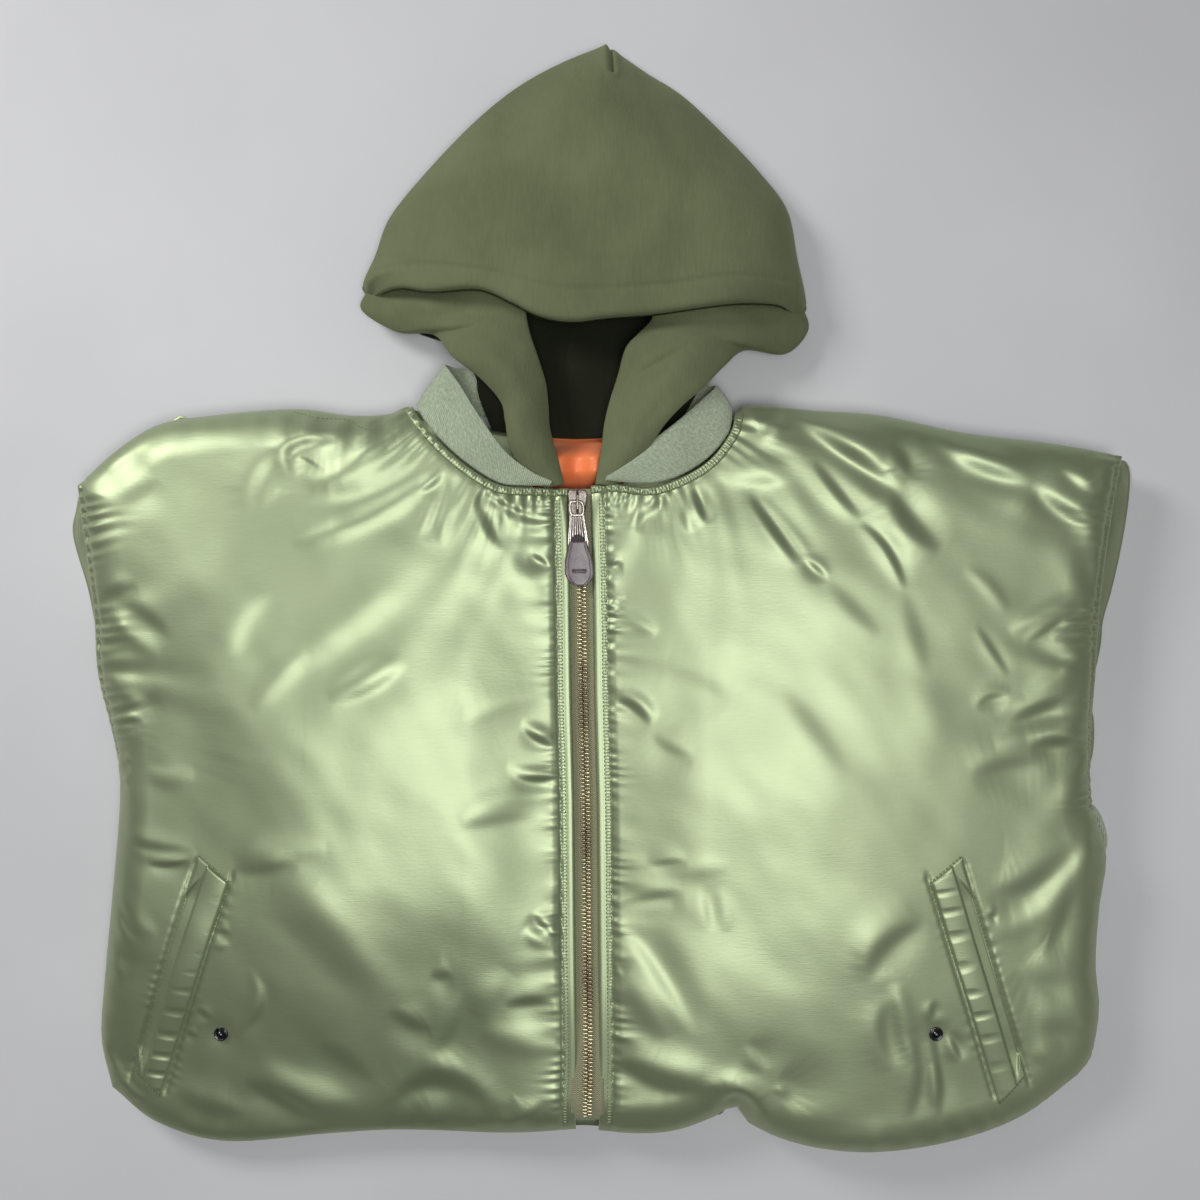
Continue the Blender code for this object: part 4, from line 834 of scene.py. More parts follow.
def collar_band():
    """The band from tip to tip: straight from the sewn to the free edge, with a soft swell between."""
    rows = through(COLLAR, steps(420))
    width = steps(22, 0.3, 0.3)[:, None]
    middle = rows[:, None, :3] * (1 - width) + rows[:, None, 3:] * width
    along = np.gradient(middle, axis=0)
    outward = unit(np.cross(rows[:, None, 3:] - rows[:, None, :3], along))
    swell = np.sin(np.pi * np.clip(width, 0.0, 1.0)) ** 0.45
    half = COLLAR_WALL / 2 * (0.3 + 0.7 * swell)
    wave = np.sin(np.linspace(0, 60, len(rows)))[:, None, None]
    middle = middle + outward * 0.8 * np.sin(np.pi * width) * wave
    return shell("collar_band", np.swapaxes(middle + outward * half, 0, 1),
                 np.swapaxes(middle - outward * half, 0, 1), RIB_KNIT, 2)


collar = collar_band()
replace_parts(collar, "collar_rib")


def leftward(line):
    """Unit directions in plan to the left of a line as it is walked."""
    run = unit(np.gradient(line, axis=0))
    return np.stack([-run[:, 1], run[:, 0]], axis=-1)


def sewn_strip(name, line, width, side_sign):
    """A rounded strip along the neck seam, gathered into short folds square to it."""
    count = 480
    seam = through(line, steps(count))
    outward = leftward(seam) * side_sign
    share = steps(10)[:, None]
    plan = seam[None] + outward[None] * (share[..., None] - 0.22) * width
    base = front_top(plan)
    walked = np.linspace(0.0, 1.0, count + 1) * walked_to(seam)[-1]
    gather = np.abs(np.sin(walked * math.pi / 2.4 + 0.9 * np.sin(walked / 6)))[None]
    rise = 2.0 * np.sin(np.pi * share) ** 0.6 * (0.72 + 0.28 * gather)
    upper = lifted(plan, base + 0.3 + rise)
    return shell(name, upper, lifted(plan, base + 0.1), NYLON, 2)


STRIP_WIDTH = 6.2
for side, side_sign, line, cut in (("left", 1, LEFT_NECK, 0.15), ("right", -1, RIGHT_NECK, 0.135)):
    strip = sewn_strip("neck_strip_" + side, line, STRIP_WIDTH, side_sign)


# -------------------------------------------------------------------------------------------------- hood
# A hood of brushed sweat fleece: a crown panel with a turned hem along its brim, a back panel that lies
# below it, and a side panel at each end that folds down inside the collar to the zip.
FLEECE_WALL = 4.0
HOOD_RIM = 9.0
HOOD_CROWN = 64.0
HOOD_ROLL = 62.0
BRIM_EDGE = [(-178, 229), (-153, 231), (-128, 226), (-92, 227), (-66, 216), (-46, 206), (-22, 202), (5, 205),
             (40, 208), (90, 215), (115, 218), (138, 219), (153, 215)]
CROWN_LEFT = [(-178, 229), (-185, 233), (-186, 242), (-177, 262), (-165, 293), (-133, 332), (-98, 368),
              (-66, 394), (-32, 413), (5, 428)]
CROWN_RIGHT = [(153, 215), (161, 218), (162, 230), (156, 258), (148, 297), (128, 325), (98, 357),
               (65, 388), (38, 405), (5, 428)]
HOOD_CREASES = [
    (26, 372, 60, 332, 66, 288, 13, -3.4), (2, 372, 4, 320, -4, 268, 16, 2.2),
    (-42, 316, -46, 292, -34, 268, 16, -1.8), (12, 300, 18, 270, 46, 262, 11, -2.4),
    (-66, 262, -20, 244, 40, 246, 5, -1.2), (-60, 256, -16, 238, 44, 240, 5, 1.0),
    (-96, 350, -80, 312, -92, 280, 18, -1.6), (96, 330, 112, 300, 104, 262, 16, -2.0),
    (-160, 262, -150, 246, -122, 240, 6, -2.6), (-166, 272, -160, 258, -136, 252, 6, 1.8),
    (132, 262, 140, 246, 150, 232, 8, -2.2), (8, 414, 9, 402, 10, 394, 4, -1.5),
]
HOOD_HEM = [(-172, 246), (-130, 245), (-80, 238), (-40, 227), (0, 226), (50, 229), (100, 236), (150, 236)]
CROWN_SLIT = [(8, 428), (8.6, 414), (9.6, 396)]


def brushed_fleece(name, share):
    """Brushed cotton fleece: matt, with a short nap, faint upright streaks and worn lighter patches; share
    scales its colour down, which paints shade into the cloth for the hood's inside."""
    made, tree, shader = new_finish(name, Roughness=0.95, Sheen_Weight=0.22, Sheen_Roughness=0.5)
    shader.inputs["Specular IOR Level"].default_value = 0.15
    shader.inputs["Sheen Tint"].default_value = (0.62, 0.72, 0.45, 1.0)
    broad = grain(tree, "Object", (0.07, 0.09, 0.07), 3.0)
    streak = grain(tree, "Object", (0.0016, 0.014, 0.003), 2.0, 0.6)
    nap = grain(tree, "Object", (0.0011, 0.0011, 0.0011), 3.0, 0.7)
    low, high = np.array([0.112, 0.130, 0.067]) * share, np.array([0.158, 0.180, 0.094]) * share
    colour = toned(tree, broad, [(0.30, low), (0.70, high)])
    line = toned(tree, streak, [(0.30, (0.95, 0.95, 0.95)), (0.70, (1.05, 1.05, 1.04))])
    patterned(tree, shader, times(tree, colour, line),
              normal=raised(tree, streak, 0.0002, raised(tree, nap, 0.00035)))
    return made


FLEECE = brushed_fleece("olive_fleece", 1.0)
# The hood's back panel, deep in the hood's mouth, gets the same fleece at under a tenth of its colour:
# painted shade, not a darker cloth.
FLEECE_PAINTED_SHADE = brushed_fleece("olive_fleece_painted_shade", 0.09)


def hood_crown():
    """The crown: rounded up from its rim, highest above the brim, with the hem's line pressed in."""
    across, along = steps(240, 0.2, 0.2), steps(170, 0.25, 0.3)
    turn_in = 0.93                      # where the sides end and the short top edge round the tip begins
    tip = np.vstack([through(CROWN_LEFT, np.linspace(turn_in, 1.0, 121)),
                     through(CROWN_RIGHT, np.linspace(1.0, turn_in, 121))[1:]])
    plan = patch(through(BRIM_EDGE, across), tip,
                 through(CROWN_LEFT, along * turn_in), through(CROWN_RIGHT, along * turn_in))
    rim = np.vstack([through(CROWN_LEFT, steps(40)), through(CROWN_RIGHT, steps(40))[::-1]])
    edge, _ = distance(plan, rim)
    brim, _ = distance(plan, through(BRIM_EDGE, steps(60)))
    x, y = plan[..., 0], plan[..., 1]
    height = HOOD_CROWN - 10 * smooth((y - 280) / 140) - 6 * smooth((np.abs(x + 12) - 70) / 90)
    height = height + creased(plan, HOOD_CREASES) + ripples(plan, 51, 8, 40, 120, 0.8)
    hem, _ = distance(plan, through(HOOD_HEM, steps(40)))
    height = height - 1.3 * np.exp(-(hem / 2.2) ** 2)
    height = height - 4.4 * (1 - roll(brim / 6.0))
    top = HOOD_RIM + (height - HOOD_RIM) * roll(edge / HOOD_ROLL)
    slit, _ = distance(plan, through(CROWN_SLIT, steps(12)))
    top = top - 4.2 * np.exp(-(slit / 1.5) ** 2) + 1.6 * np.exp(-((slit - 4) / 3) ** 2)
    upper = lifted(plan, top)
    steep = np.minimum(1.0 / np.maximum(normals(upper)[..., 2], 0.1), 2.5)
    thick = FLEECE_WALL * steep + 2.4 * roll(brim / 6.0) * (1 - smooth(brim / 26))
    return shell("hood_crown_panel", upper, lifted(plan, np.maximum(top - thick, HOOD_RIM - 1.5)), FLEECE,
                 5)


crown = hood_crown()
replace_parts(crown, "hood_crown")


def hood_back():
    """The back panel: on the floor, raised over the collar at the neck, with its middle seam, in fleece
    darkened as painted shade.
    """
    across, along = steps(100), steps(100)
    left = [(-84, 124), (-94, 150), (-98, 172), (-118, 194), (-150, 205), (-182, 227), (-174, 260),
            (-161, 291), (-130, 329), (-95, 364), (-63, 389), (-30, 408)]
    right = [(60, 126), (74, 150), (84, 168), (112, 192), (150, 207), (159, 226), (152, 258), (144, 295),
             (125, 321), (95, 353), (62, 383), (36, 400)]
    bottom = np.array([left[0], (-15, 118), right[0]])
    top = np.array([left[-1], (4, 422), right[-1]])
    plan = patch(through(bottom, across), through(top, across), through(left, along), through(right, along))
    x, y = plan[..., 0], plan[..., 1]
    over_collar = 14 * smooth((np.abs(x + 15) - 55) / 45) * (1 - smooth((y - 172) / 22))
    under = 17 * (1 - smooth((y - 168) / 50)) + over_collar
    seam, _ = distance(plan, through([(-22, 206), (-27, 180), (-25, 150)], steps(20)))
    rise = 3.0 * np.exp(-((x + 12) / 18) ** 2) * smooth((y - 150) / 20) - 1.6 * np.exp(-(seam / 1.6) ** 2)
    rise = rise + ripples(plan, 61, 6, 40, 90, 0.7) * smooth((y - 135) / 20)
    return shell("hood_back_panel", lifted(plan, under + FLEECE_WALL + rise + 0.8), lifted(plan, under),
                 FLEECE_PAINTED_SHADE, 5)


back_of_hood = hood_back()
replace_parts(back_of_hood, "hood_back")

# outer x, y, z, inner x, y, z, rise of the fold between them
HOOD_LEFT = [
    (-183, 234, 15, -60, 244, 30, 7),
    (-186, 219, 17, -58, 226, 34, 12),
    (-158, 202, 21, -57, 211, 38, 14),
    (-129, 198, 30, -54, 196, 42, 14),
    (-112, 178, 48, -48, 178, 44, 13),
    (-92, 162, 53, -42, 158, 44, 12),
    (-75, 143, 56, -40, 140, 44, 10),
    (-71, 127, 56, -39, 124, 44, 9),
    (-68, 109, 52, -35, 108, 45, 8),
    (-56, 89, 46, -31, 93, 46, 6),
    (-42, 78, 45, -28, 80, 46, 3),
]
HOOD_RIGHT = [
    (158, 224, 14, 44, 238, 30, 7),
    (163, 204, 15, 41, 223, 34, 14),
    (145, 185, 20, 40, 208, 38, 15),
    (113, 186, 30, 30, 196, 42, 16),
    (94, 170, 48, 20, 184, 44, 14),
    (78, 153, 57, 14, 163, 44, 12),
    (62, 139, 60, 8, 144, 44, 11),
    (48, 124, 59, 4, 127, 44, 10),
    (36, 106, 55, 2, 110, 45, 8),
    (24, 90, 47, 0, 98, 46, 6),
    (11, 80, 45, -3, 80, 46, 3),
]
LEFT_DRAPE_CREASES = [
    (-128, 200, -104, 198, -88, 204, 3.2, -5), (-160, 216, -130, 208, -88, 212, 6, -2.4),
    (-156, 209, -128, 200, -100, 196, 5, 3), (-96, 176, -70, 168, -56, 150, 7, 2.4),
    (-84, 186, -66, 190, -52, 178, 8, -2.6), (-66, 138, -56, 120, -50, 100, 5, -2.2),
    (-150, 222, -130, 218, -100, 222, 4, 2.0),
]
RIGHT_DRAPE_CREASES = [
    (70, 186, 40, 172, 14, 152, 4, -4.5), (84, 176, 56, 160, 26, 138, 7, 3),
    (126, 206, 100, 206, 60, 204, 6, -2.4), (140, 196, 124, 190, 96, 194, 6, 3),
    (50, 146, 36, 130, 22, 112, 6, -2.4), (146, 214, 130, 212, 108, 212, 4, -2.6),
]


def hood_side(name, table, creases, cad_node):
    """A side panel of the hood: folded over softly between its two edges on its way to the zip."""
    rows = through(table, steps(172))
    share = steps(64, 0.25, 0.25)[None, :, None]
    middle = rows[:, None, :3] * (1 - share) + rows[:, None, 3:6] * share
    middle[..., 2] += rows[:, 6:7] * np.sin(np.pi * share[..., 0]) ** 0.8
    across = np.sin(np.pi * share[..., 0]) ** 0.5
    middle[..., 2] += (creased(middle[..., :2], creases) + ripples(middle, 71, 6, 24, 70, 0.6)) * across
    out = normals(middle)
    half = FLEECE_WALL / 2 * (0.45 + 0.55 * np.sin(np.pi * share) ** 0.5)
    made = shell(name, middle + out * half, middle - out * half, FLEECE, 4)
    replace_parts(made, cad_node)
    return made


left_drape = hood_side("hood_left_panel", HOOD_LEFT, LEFT_DRAPE_CREASES, "hood_left")
right_drape = hood_side("hood_right_panel", HOOD_RIGHT, RIGHT_DRAPE_CREASES, "hood_right")


# ------------------------------------------------------------------------------------------- neck lining
# The orange nylon lining of the body, seen through the neck above the zip, in two soft swells.
LINING_BOTTOM = [(-56, 58), (-16, 48), (24, 58)]
LINING_TOP = [(-44, 121), (-16, 123), (12, 121)]
LINING_WALL = 2.0


def orange_lining():
    """Smooth nylon taffeta with a soft gloss and fine cross threads."""
    made, tree, shader = new_finish("orange_lining", Roughness=0.42, Sheen_Weight=0.2)
    tone = grain(tree, "Object", (0.02, 0.02, 0.02), 2.0)
    thread = grain(tree, "Object", (0.004, 0.0008, 0.002), 2.0)
    colour = toned(tree, tone, [(0.3, (0.93, 0.215, 0.066)), (0.7, (1.0, 0.265, 0.088))])
    patterned(tree, shader, colour, normal=raised(tree, thread, 0.00012))
    return made


def neck_lining():
    """The lining over its outline, raised in two bulges that meet in a valley behind the zip."""
    across, along = steps(80), steps(60)
    plan = patch(through(LINING_BOTTOM, across), through(LINING_TOP, across),
                 through([LINING_BOTTOM[0], (-49, 90), LINING_TOP[0]], along),
                 through([LINING_BOTTOM[-1], (17, 90), LINING_TOP[-1]], along))
    x, y = plan[..., 0], plan[..., 1]
    bulges = np.exp(-((x + 31) / 11) ** 2) + np.exp(-((x + 4) / 12) ** 2)
    seen = smooth((y - 70) / 22) * (1 - smooth((y - 100) / 20)) * (1 - smooth((np.abs(x + 17) - 30) / 10))
    upper = back_top(plan) + 2 * LAYER_GAP + LINING_WALL + (12 + 16 * bulges) * seen
    return shell("neck_lining_cloth", lifted(plan, upper), lifted(plan, upper - LINING_WALL),
                 orange_lining(), 4)


lining = neck_lining()
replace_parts(lining, "neck_lining")


# --------------------------------------------------------------------------------------------------- zip
# Two herringbone tapes under the fronts' edges, the aged brass teeth clamped on them, and the slider with
# its antique metal pull and round-ended leather tab.
TAPE_WIDTH = 12.5
CHEVRON_HALF = 0.0023                   # in metres, as in the tape's UV map
THREAD_PITCH = 0.0016
TAPE_WALL = 1.0
TAPE_GAP = 0.9
TAPE_TOP = 77.0
TAPE_END = -408.0
TOOTH_PITCH = 2.95
TOOTH_REACH = 4.2
HINGE = np.array([-18.0, 66.0, 53.4])
PULL_SLOPE = math.radians(4.5)
PULL_LEAN = -0.045
PULL_START = -8.6                       # along the pull from its hinge
PULL_END = -35.0
PULL_HALF_WALL = 1.0
EYE_HALF_WIDTH = 5.1
EYE_HALF_LENGTH = 5.2
EYE_MIDDLE = -4.6
EYE_BAR = 1.25
ACROSS = np.array([[1.0, 0.0, 0.0]])
UP = np.array([[0.0, 0.0, 1.0]])


def zip_strip(y, offsets, rise):
    """Rows of points across the zip, under the fronts' edges."""
    grid = np.stack([np.stack([zip_x(y) + off, y], axis=-1) for off in offsets], axis=1)
    edge, _ = distance(grid, OUTER_EDGES)
    foot = seam_height(grid) + RIM_WALL
    level = foot + (ZIP_TOP - foot) * roll(edge / EDGE_ROLL)
    gap = TAPE_GAP * (1 + 3 * (1 - smooth(edge / EDGE_ROLL)))
    return lifted(grid, level - RIM_WALL - TAPE_WALL - gap + rise)


def herringbone_tape():
    """Tape woven in chevrons: slanted threads that turn back every few millimetres."""
    made, tree, shader = new_finish("herringbone_tape", Roughness=0.8, Sheen_Weight=0.15)
    place = node(tree, "ShaderNodeTexCoord")
    parts = node(tree, "ShaderNodeSeparateXYZ")
    tree.links.new(place.outputs["UV"], parts.inputs["Vector"])
    turned = node(tree, "ShaderNodeMath", {1: CHEVRON_HALF}, operation="PINGPONG")
    tree.links.new(parts.outputs["X"], turned.inputs[0])
    slant = node(tree, "ShaderNodeMath", operation="ADD")
    tree.links.new(parts.outputs["Y"], slant.inputs[0])
    tree.links.new(turned.outputs["Value"], slant.inputs[1])
    wave = node(tree, "ShaderNodeMath", {1: 2 * math.pi / THREAD_PITCH}, operation="MULTIPLY")
    tree.links.new(slant.outputs["Value"], wave.inputs[0])
    sine = node(tree, "ShaderNodeMath", operation="SINE")
    tree.links.new(wave.outputs["Value"], sine.inputs[0])
    level = node(tree, "ShaderNodeMapRange", {"From Min": -1.0, "From Max": 1.0})
    tree.links.new(sine.outputs["Value"], level.inputs["Value"])
    colour = toned(tree, level.outputs["Result"],
                   [(0.15, (0.150, 0.155, 0.085)), (0.8, (0.390, 0.385, 0.235))])
    patterned(tree, shader, colour, normal=raised(tree, level.outputs["Result"], 0.0003))
    return made


TAPE = herringbone_tape()
tape_y = TAPE_END + (TAPE_TOP - TAPE_END) * steps(300)
for side, sign in (("left", -1), ("right", 1)):
    offsets = sign * np.linspace(0.4, TAPE_WIDTH, 7)
    tape = shell("woven_tape_" + side, zip_strip(tape_y, offsets, TAPE_WALL), zip_strip(tape_y, offsets, 0.0),
                 TAPE)
    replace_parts(tape, "zip_tape_" + side)


def aged_brass():
    """Brass worn bright on top and dulled brown in between."""
    made, tree, shader = new_finish("aged_brass", Metallic=1.0)
    tone = grain(tree, "Object", (0.03, 0.035, 0.02), 3.0)
    fine = grain(tree, "Object", (0.0016, 0.0016, 0.0016), 2.0)
    colour = toned(tree, tone, [(0.34, (0.34, 0.25, 0.15)), (0.52, (0.66, 0.56, 0.36)),
                                (0.66, (0.84, 0.76, 0.52))])
    patterned(tree, shader, colour, spread_over(tree, fine, 0.26, 0.42), raised(tree, fine, 0.0001))
    return made


def ellipsoid(rings, around, square):
    """A closed unit form from pole to pole along x, its section pulled from round towards square."""
    polar = np.linspace(0.0, math.pi, rings + 2)[1:-1, None]
    turn = np.linspace(0.0, 2 * math.pi, around, endpoint=False)[None]

    def pulled(value):
        return np.sign(value) * np.abs(value) ** square

    ball = np.stack([pulled(np.cos(polar)) + 0 * turn, pulled(np.sin(polar)) * pulled(np.cos(turn)),
                     pulled(np.sin(polar)) * pulled(np.sin(turn))], axis=-1).reshape(-1, 3)
    ring, after, middle = rings_of(rings, around)
    caps = np.vstack([hub(len(ball), ring[0], after[0]), hub(len(ball) + 1, after[-1], ring[-1])])
    return np.vstack([ball, (1, 0, 0), (-1, 0, 0)]), middle, caps


def many(name, places, runs, ups, half_sizes, form, finish, body="jacket"):
    """One joined mesh of a small form set at each place, its x along runs and its z along ups."""
    points, middle, caps = form
    runs = unit(runs)
    side = unit(np.cross(ups, runs))
    up = np.cross(runs, side)
    sized = points[None] * np.broadcast_to(half_sizes, (len(places), 3))[:, None]
    placed = (places[:, None] + sized[..., 0:1] * runs[:, None] + sized[..., 1:2] * side[:, None]
              + sized[..., 2:3] * up[:, None])
    shift = (np.arange(len(places)) * len(points))[:, None, None]
    faces = (middle[None] + shift).reshape(-1, 4).tolist() + (caps[None] + shift).reshape(-1, 3).tolist()
    return finished(name, placed, faces, finish, body=body)


def zip_teeth():
    """Brass teeth in two rows, half a pitch apart, from the hem up to the slider."""
    y = np.arange(TAPE_END + 4, HINGE[1] - 13, TOOTH_PITCH)
    places = np.vstack([zip_strip(y + shift, [sign * TOOTH_REACH * 0.46], TAPE_WALL + 1.15)[:, 0]
                        for sign, shift in ((-1, 0.0), (1, TOOTH_PITCH / 2))])
    return many("zip_teeth", places, ACROSS, UP, (TOOTH_REACH * 0.54, 0.74, 1.25), ellipsoid(7, 8, 0.55),
                aged_brass())


teeth = zip_teeth()
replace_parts(teeth, "zip_chain")


def antique_metal(name, dark, middle, pale):
    """Cast zinc plated dark and worn paler in patches."""
    made, tree, shader = new_finish(name, Metallic=1.0)
    tone = grain(tree, "Object", (0.006, 0.010, 0.006), 3.0)
    fine = grain(tree, "Object", (0.0008, 0.0016, 0.0008), 3.0)
    colour = toned(tree, tone, [(0.3, dark), (0.55, middle), (0.75, pale)])
    patterned(tree, shader, colour, spread_over(tree, fine, 0.28, 0.46), raised(tree, fine, 0.00012))
    return made


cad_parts["zip_slider"].data.materials.clear()
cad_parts["zip_slider"].data.materials.append(
    antique_metal("slider_metal", (0.13, 0.110, 0.098), (0.24, 0.210, 0.185), (0.38, 0.345, 0.31)))
PULL_METAL = antique_metal("pull_metal", (0.34, 0.300, 0.265), (0.50, 0.455, 0.410), (0.66, 0.615, 0.56))


def lay_down(points):
    """Bring points of the pull to its hinge, sloping a little towards its free end."""
    x, y, z = points[..., 0], points[..., 1], points[..., 2]
    along, down = math.cos(PULL_SLOPE), math.sin(PULL_SLOPE)
    return HINGE + np.stack([x + PULL_LEAN * y, y * along - z * down, y * down + z * along], axis=-1)


def zip_pull():
    """The metal pull: a tapered bar with four lengthwise ridges in a frame, and an arch for the leather near
    its end."""
    v = steps(72, 0.1, 0.2)
    u = np.linspace(-1.0, 1.0, 37)
    y = PULL_START + v * (PULL_END - PULL_START)
    half = 5.6 + 2.4 * smooth((PULL_START - y) / 24) - 1.6 * smooth((-y - 32.5) / 3)
    x = u[None] * half[:, None]
    yy = np.broadcast_to(y[:, None], x.shape)
    inner = smooth((1 - np.abs(u)) / 0.16)[None] * smooth(v / 0.07)[:, None] * smooth((1 - v) / 0.12)[:, None]
    ridges = 0.5 - 0.5 * np.cos(u[None] * math.pi * 4.0)
    arch = 1 - smooth((np.hypot(x / 5.2, (yy + 30) / 5.4) - 0.9) / 0.12)
    depth = PULL_HALF_WALL - 0.95 * inner * (1 - 0.85 * ridges) * (1 - arch) - 1.5 * arch
    rounded = roll((1 - np.abs(u)) / 0.12)[None] * roll(v / 0.02)[:, None] * roll((1 - v) / 0.03)[:, None]
    top = np.stack([x, yy, depth * (0.35 + 0.65 * rounded)], axis=-1)
    low = np.stack([x, yy, -PULL_HALF_WALL * (0.35 + 0.65 * rounded)], axis=-1)
    return shell("zip_pull_bar", lay_down(top), lay_down(low), PULL_METAL, 1, "zip_pull")


def pull_eye():
    """The eye at the pull's upper end: a slightly flat round bar along a loop that is nearly square."""
    turn = np.linspace(0, 2 * math.pi, 61)[:-1]
    x, y = np.cos(turn), np.sin(turn)
    path = np.stack([EYE_HALF_WIDTH * np.sign(x) * np.abs(x) ** 0.45,
                     EYE_MIDDLE + EYE_HALF_LENGTH * np.sign(y) * np.abs(y) ** 0.7, 0 * turn], axis=-1)
    side = np.cross(unit(np.roll(path, -1, axis=0) - np.roll(path, 1, axis=0)), UP)
    bend = np.linspace(0, 2 * math.pi, 13)[:-1, None]
    grid = path[:, None] + EYE_BAR * (side[:, None] * np.cos(bend) + 0.8 * UP * np.sin(bend))
    ring = np.arange(grid.shape[0] * grid.shape[1]).reshape(grid.shape[:2])
    onward, after = np.roll(ring, -1, axis=0), np.roll(ring, -1, axis=1)
    faces = np.stack([ring, after, np.roll(onward, -1, axis=1), onward], axis=-1).reshape(-1, 4)
    return finished("zip_pull_eye", lay_down(grid), faces.tolist(), PULL_METAL, body="zip_pull")


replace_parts(zip_pull(), "zip_pull")
pull_eye()


def tab_leather():
    """Smooth leather with fine pores, darker round its rim and along a worn line."""
    made, tree, shader = new_finish("mauve_leather", Roughness=0.42, Coat_Weight=0.3, Coat_Roughness=0.22)
    tone = grain(tree, "Object", (0.008, 0.008, 0.008), 3.0)
    pores = grain(tree, "Object", (0.0009, 0.0009, 0.0009), 4.0, 0.65)
    colour = toned(tree, tone, [(0.3, (0.085, 0.062, 0.070)), (0.7, (0.190, 0.150, 0.162))])
    patterned(tree, shader, colour, spread_over(tree, pores, 0.34, 0.52), raised(tree, pores, 0.00025))
    return made


def painted_shade_leather():
    """The leather where it loops through the pull, coloured near black as painted shade for the hollow under
    the pull's arch.
    """
    made, tree, shader = new_finish("leather_loop_painted_shade", Roughness=0.7)
    tone = grain(tree, "Object", (0.001, 0.001, 0.001))
    patterned(tree, shader, toned(tree, tone, [(0.3, (0.022, 0.016, 0.018)), (0.7, (0.045, 0.034, 0.038))]))
    return made


def pull_tab():
    """The leather tab: narrow where it leaves the pull and round at its end, with a short cut across it."""
    start, end, radius, base = -29.5, -52.5, 11.0, 1.3
    v = steps(76, 0.15, 0.3)
    u = np.linspace(-1.0, 1.0, 45)
    y = start + v * (end - radius - start)
    neck = 7.0 + 3.2 * smooth((start - y) / 16)
    round_end = np.sqrt(np.clip(1 - (np.clip(end - y, 0, radius) / radius) ** 2, 0.0, 1.0)) * radius
    half = np.where(y > end, neck + (radius - neck) * smooth((start - y - 8) / 15), round_end)
    half = np.maximum(half, 0.4)
    x = u[None] * half[:, None]
    yy = np.broadcast_to(y[:, None], x.shape)
    inside = half[:, None] - np.abs(x)
    rim = roll(inside / 1.4) * roll((y - (end - radius)) / 1.4)[:, None] * roll(v / 0.03)[:, None]
    cut = np.exp(-((yy + 52) / 0.9) ** 4) * smooth((5.4 - np.abs(x)) / 0.8)
    press = 0.35 * np.exp(-((inside - 2.0) / 0.5) ** 2)
    bow = 0.5 * (1 - (x / radius) ** 2)
    top = np.stack([x, yy, base + (2.2 + bow) * (0.25 + 0.75 * rim) - 1.3 * cut - press], axis=-1)
    low = np.stack([x, yy, np.full(x.shape, base)], axis=-1)
    return shell("leather_tab", lay_down(top), lay_down(low), tab_leather(), 1, "zip_pull")


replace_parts(pull_tab(), "pull_tab")
# A near-black patch of leather in the hollow under the pull's arch: the tab's loop through the pull, its
# darkness painted shade.
LOOP_SPOT = np.array([[0.0, -28.6, -0.15]])
slope = np.array([[0.0, -math.sin(PULL_SLOPE), math.cos(PULL_SLOPE)]])
many("leather_loop_painted_shade", lay_down(LOOP_SPOT), ACROSS, slope, (5.0, 4.6, 0.45), ellipsoid(9, 20, 1.0),
     painted_shade_leather(), "zip_pull")


# ----------------------------------------------------------------------------------------------- pockets
# A slanted welt of nylon on each pocket, stitched down all round, its slit beside the outer seam and its
# inner part puffed up, with a gunmetal snap beside it.
WELT_WALL = 2.6
SLIT_SHARE = 0.325                      # where the slit lies between the outer and the inner seam


def welt(name, corners, seed):
    """The welt over front_top: flat from its outer seam to the slit, then puffed up to its inner seam, with
    a few uneven creases across."""
    top_outer, top_inner, bottom_inner, bottom_outer = [np.array(c, float) for c in corners]
    across = steps(44, 0.25, 0.25)[None, :, None]
    along = steps(260)[:, None, None]
    plan = ((1 - along) * ((1 - across) * top_outer + across * top_inner)
            + along * ((1 - across) * bottom_outer + across * bottom_inner))
    base = front_top(plan)
    walked = along[..., 0] * np.linalg.norm(bottom_outer - top_outer)
    share = across[..., 0]
    slip = smooth((share - SLIT_SHARE) / 0.035)
    inner = np.clip((share - SLIT_SHARE) / (1 - SLIT_SHARE), 0.0, 1.0)
    gathers = puckers(6 * (1 - inner), walked + 11 * inner, 19.0, 11.0, 1.5, seed)
    dents = 0.9 * np.maximum(gathers - 0.25, 0.0) * slip * np.sin(np.pi * (0.1 + 0.9 * inner)) ** 0.5
    rise = 0.6 + WELT_WALL * slip * np.sin(np.pi * (0.30 + 0.66 * inner)) ** 0.7 - dents
    ends = roll(np.minimum(along, 1 - along)[..., 0] / 0.012)
    upper = lifted(plan, base + 0.3 + rise * (0.3 + 0.7 * ends))
    return shell(name, upper, lifted(plan, base - 0.4), NYLON, 4)


for side, corners, seed in (("left", LEFT_WELT, 81), ("right", RIGHT_WELT, 82)):
    made = welt("welt_" + side, corners, seed)
    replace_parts(made, "pocket_welt_" + side)


def gunmetal():
    """Blackened metal, polished, a little uneven in tone."""
    made, tree, shader = new_finish("gunmetal", Metallic=1.0)
    fine = grain(tree, "Object", (0.004, 0.004, 0.004), 2.0)
    colour = toned(tree, fine, [(0.3, (0.055, 0.056, 0.06)), (0.7, (0.085, 0.085, 0.085))])
    patterned(tree, shader, colour, spread_over(tree, fine, 0.20, 0.26))
    return made


GUNMETAL = gunmetal()
SNAP_CROWN = 4.5
SNAP_FOOT = 0.8
SNAP_RADII = (0.8, 1.6, 2.3, 2.8, 3.1, 3.25, 3.5, 3.9, 4.4, 4.9, 5.25, 5.4, 5.3, 4.9, 4.0)
SNAP_HEIGHTS = (4.4, 4.1, 3.6, 3.0, 2.5, 2.0, 1.75, 1.95, 2.3, 2.3, 2.0, 1.6, 1.2, 0.9, 0.8)


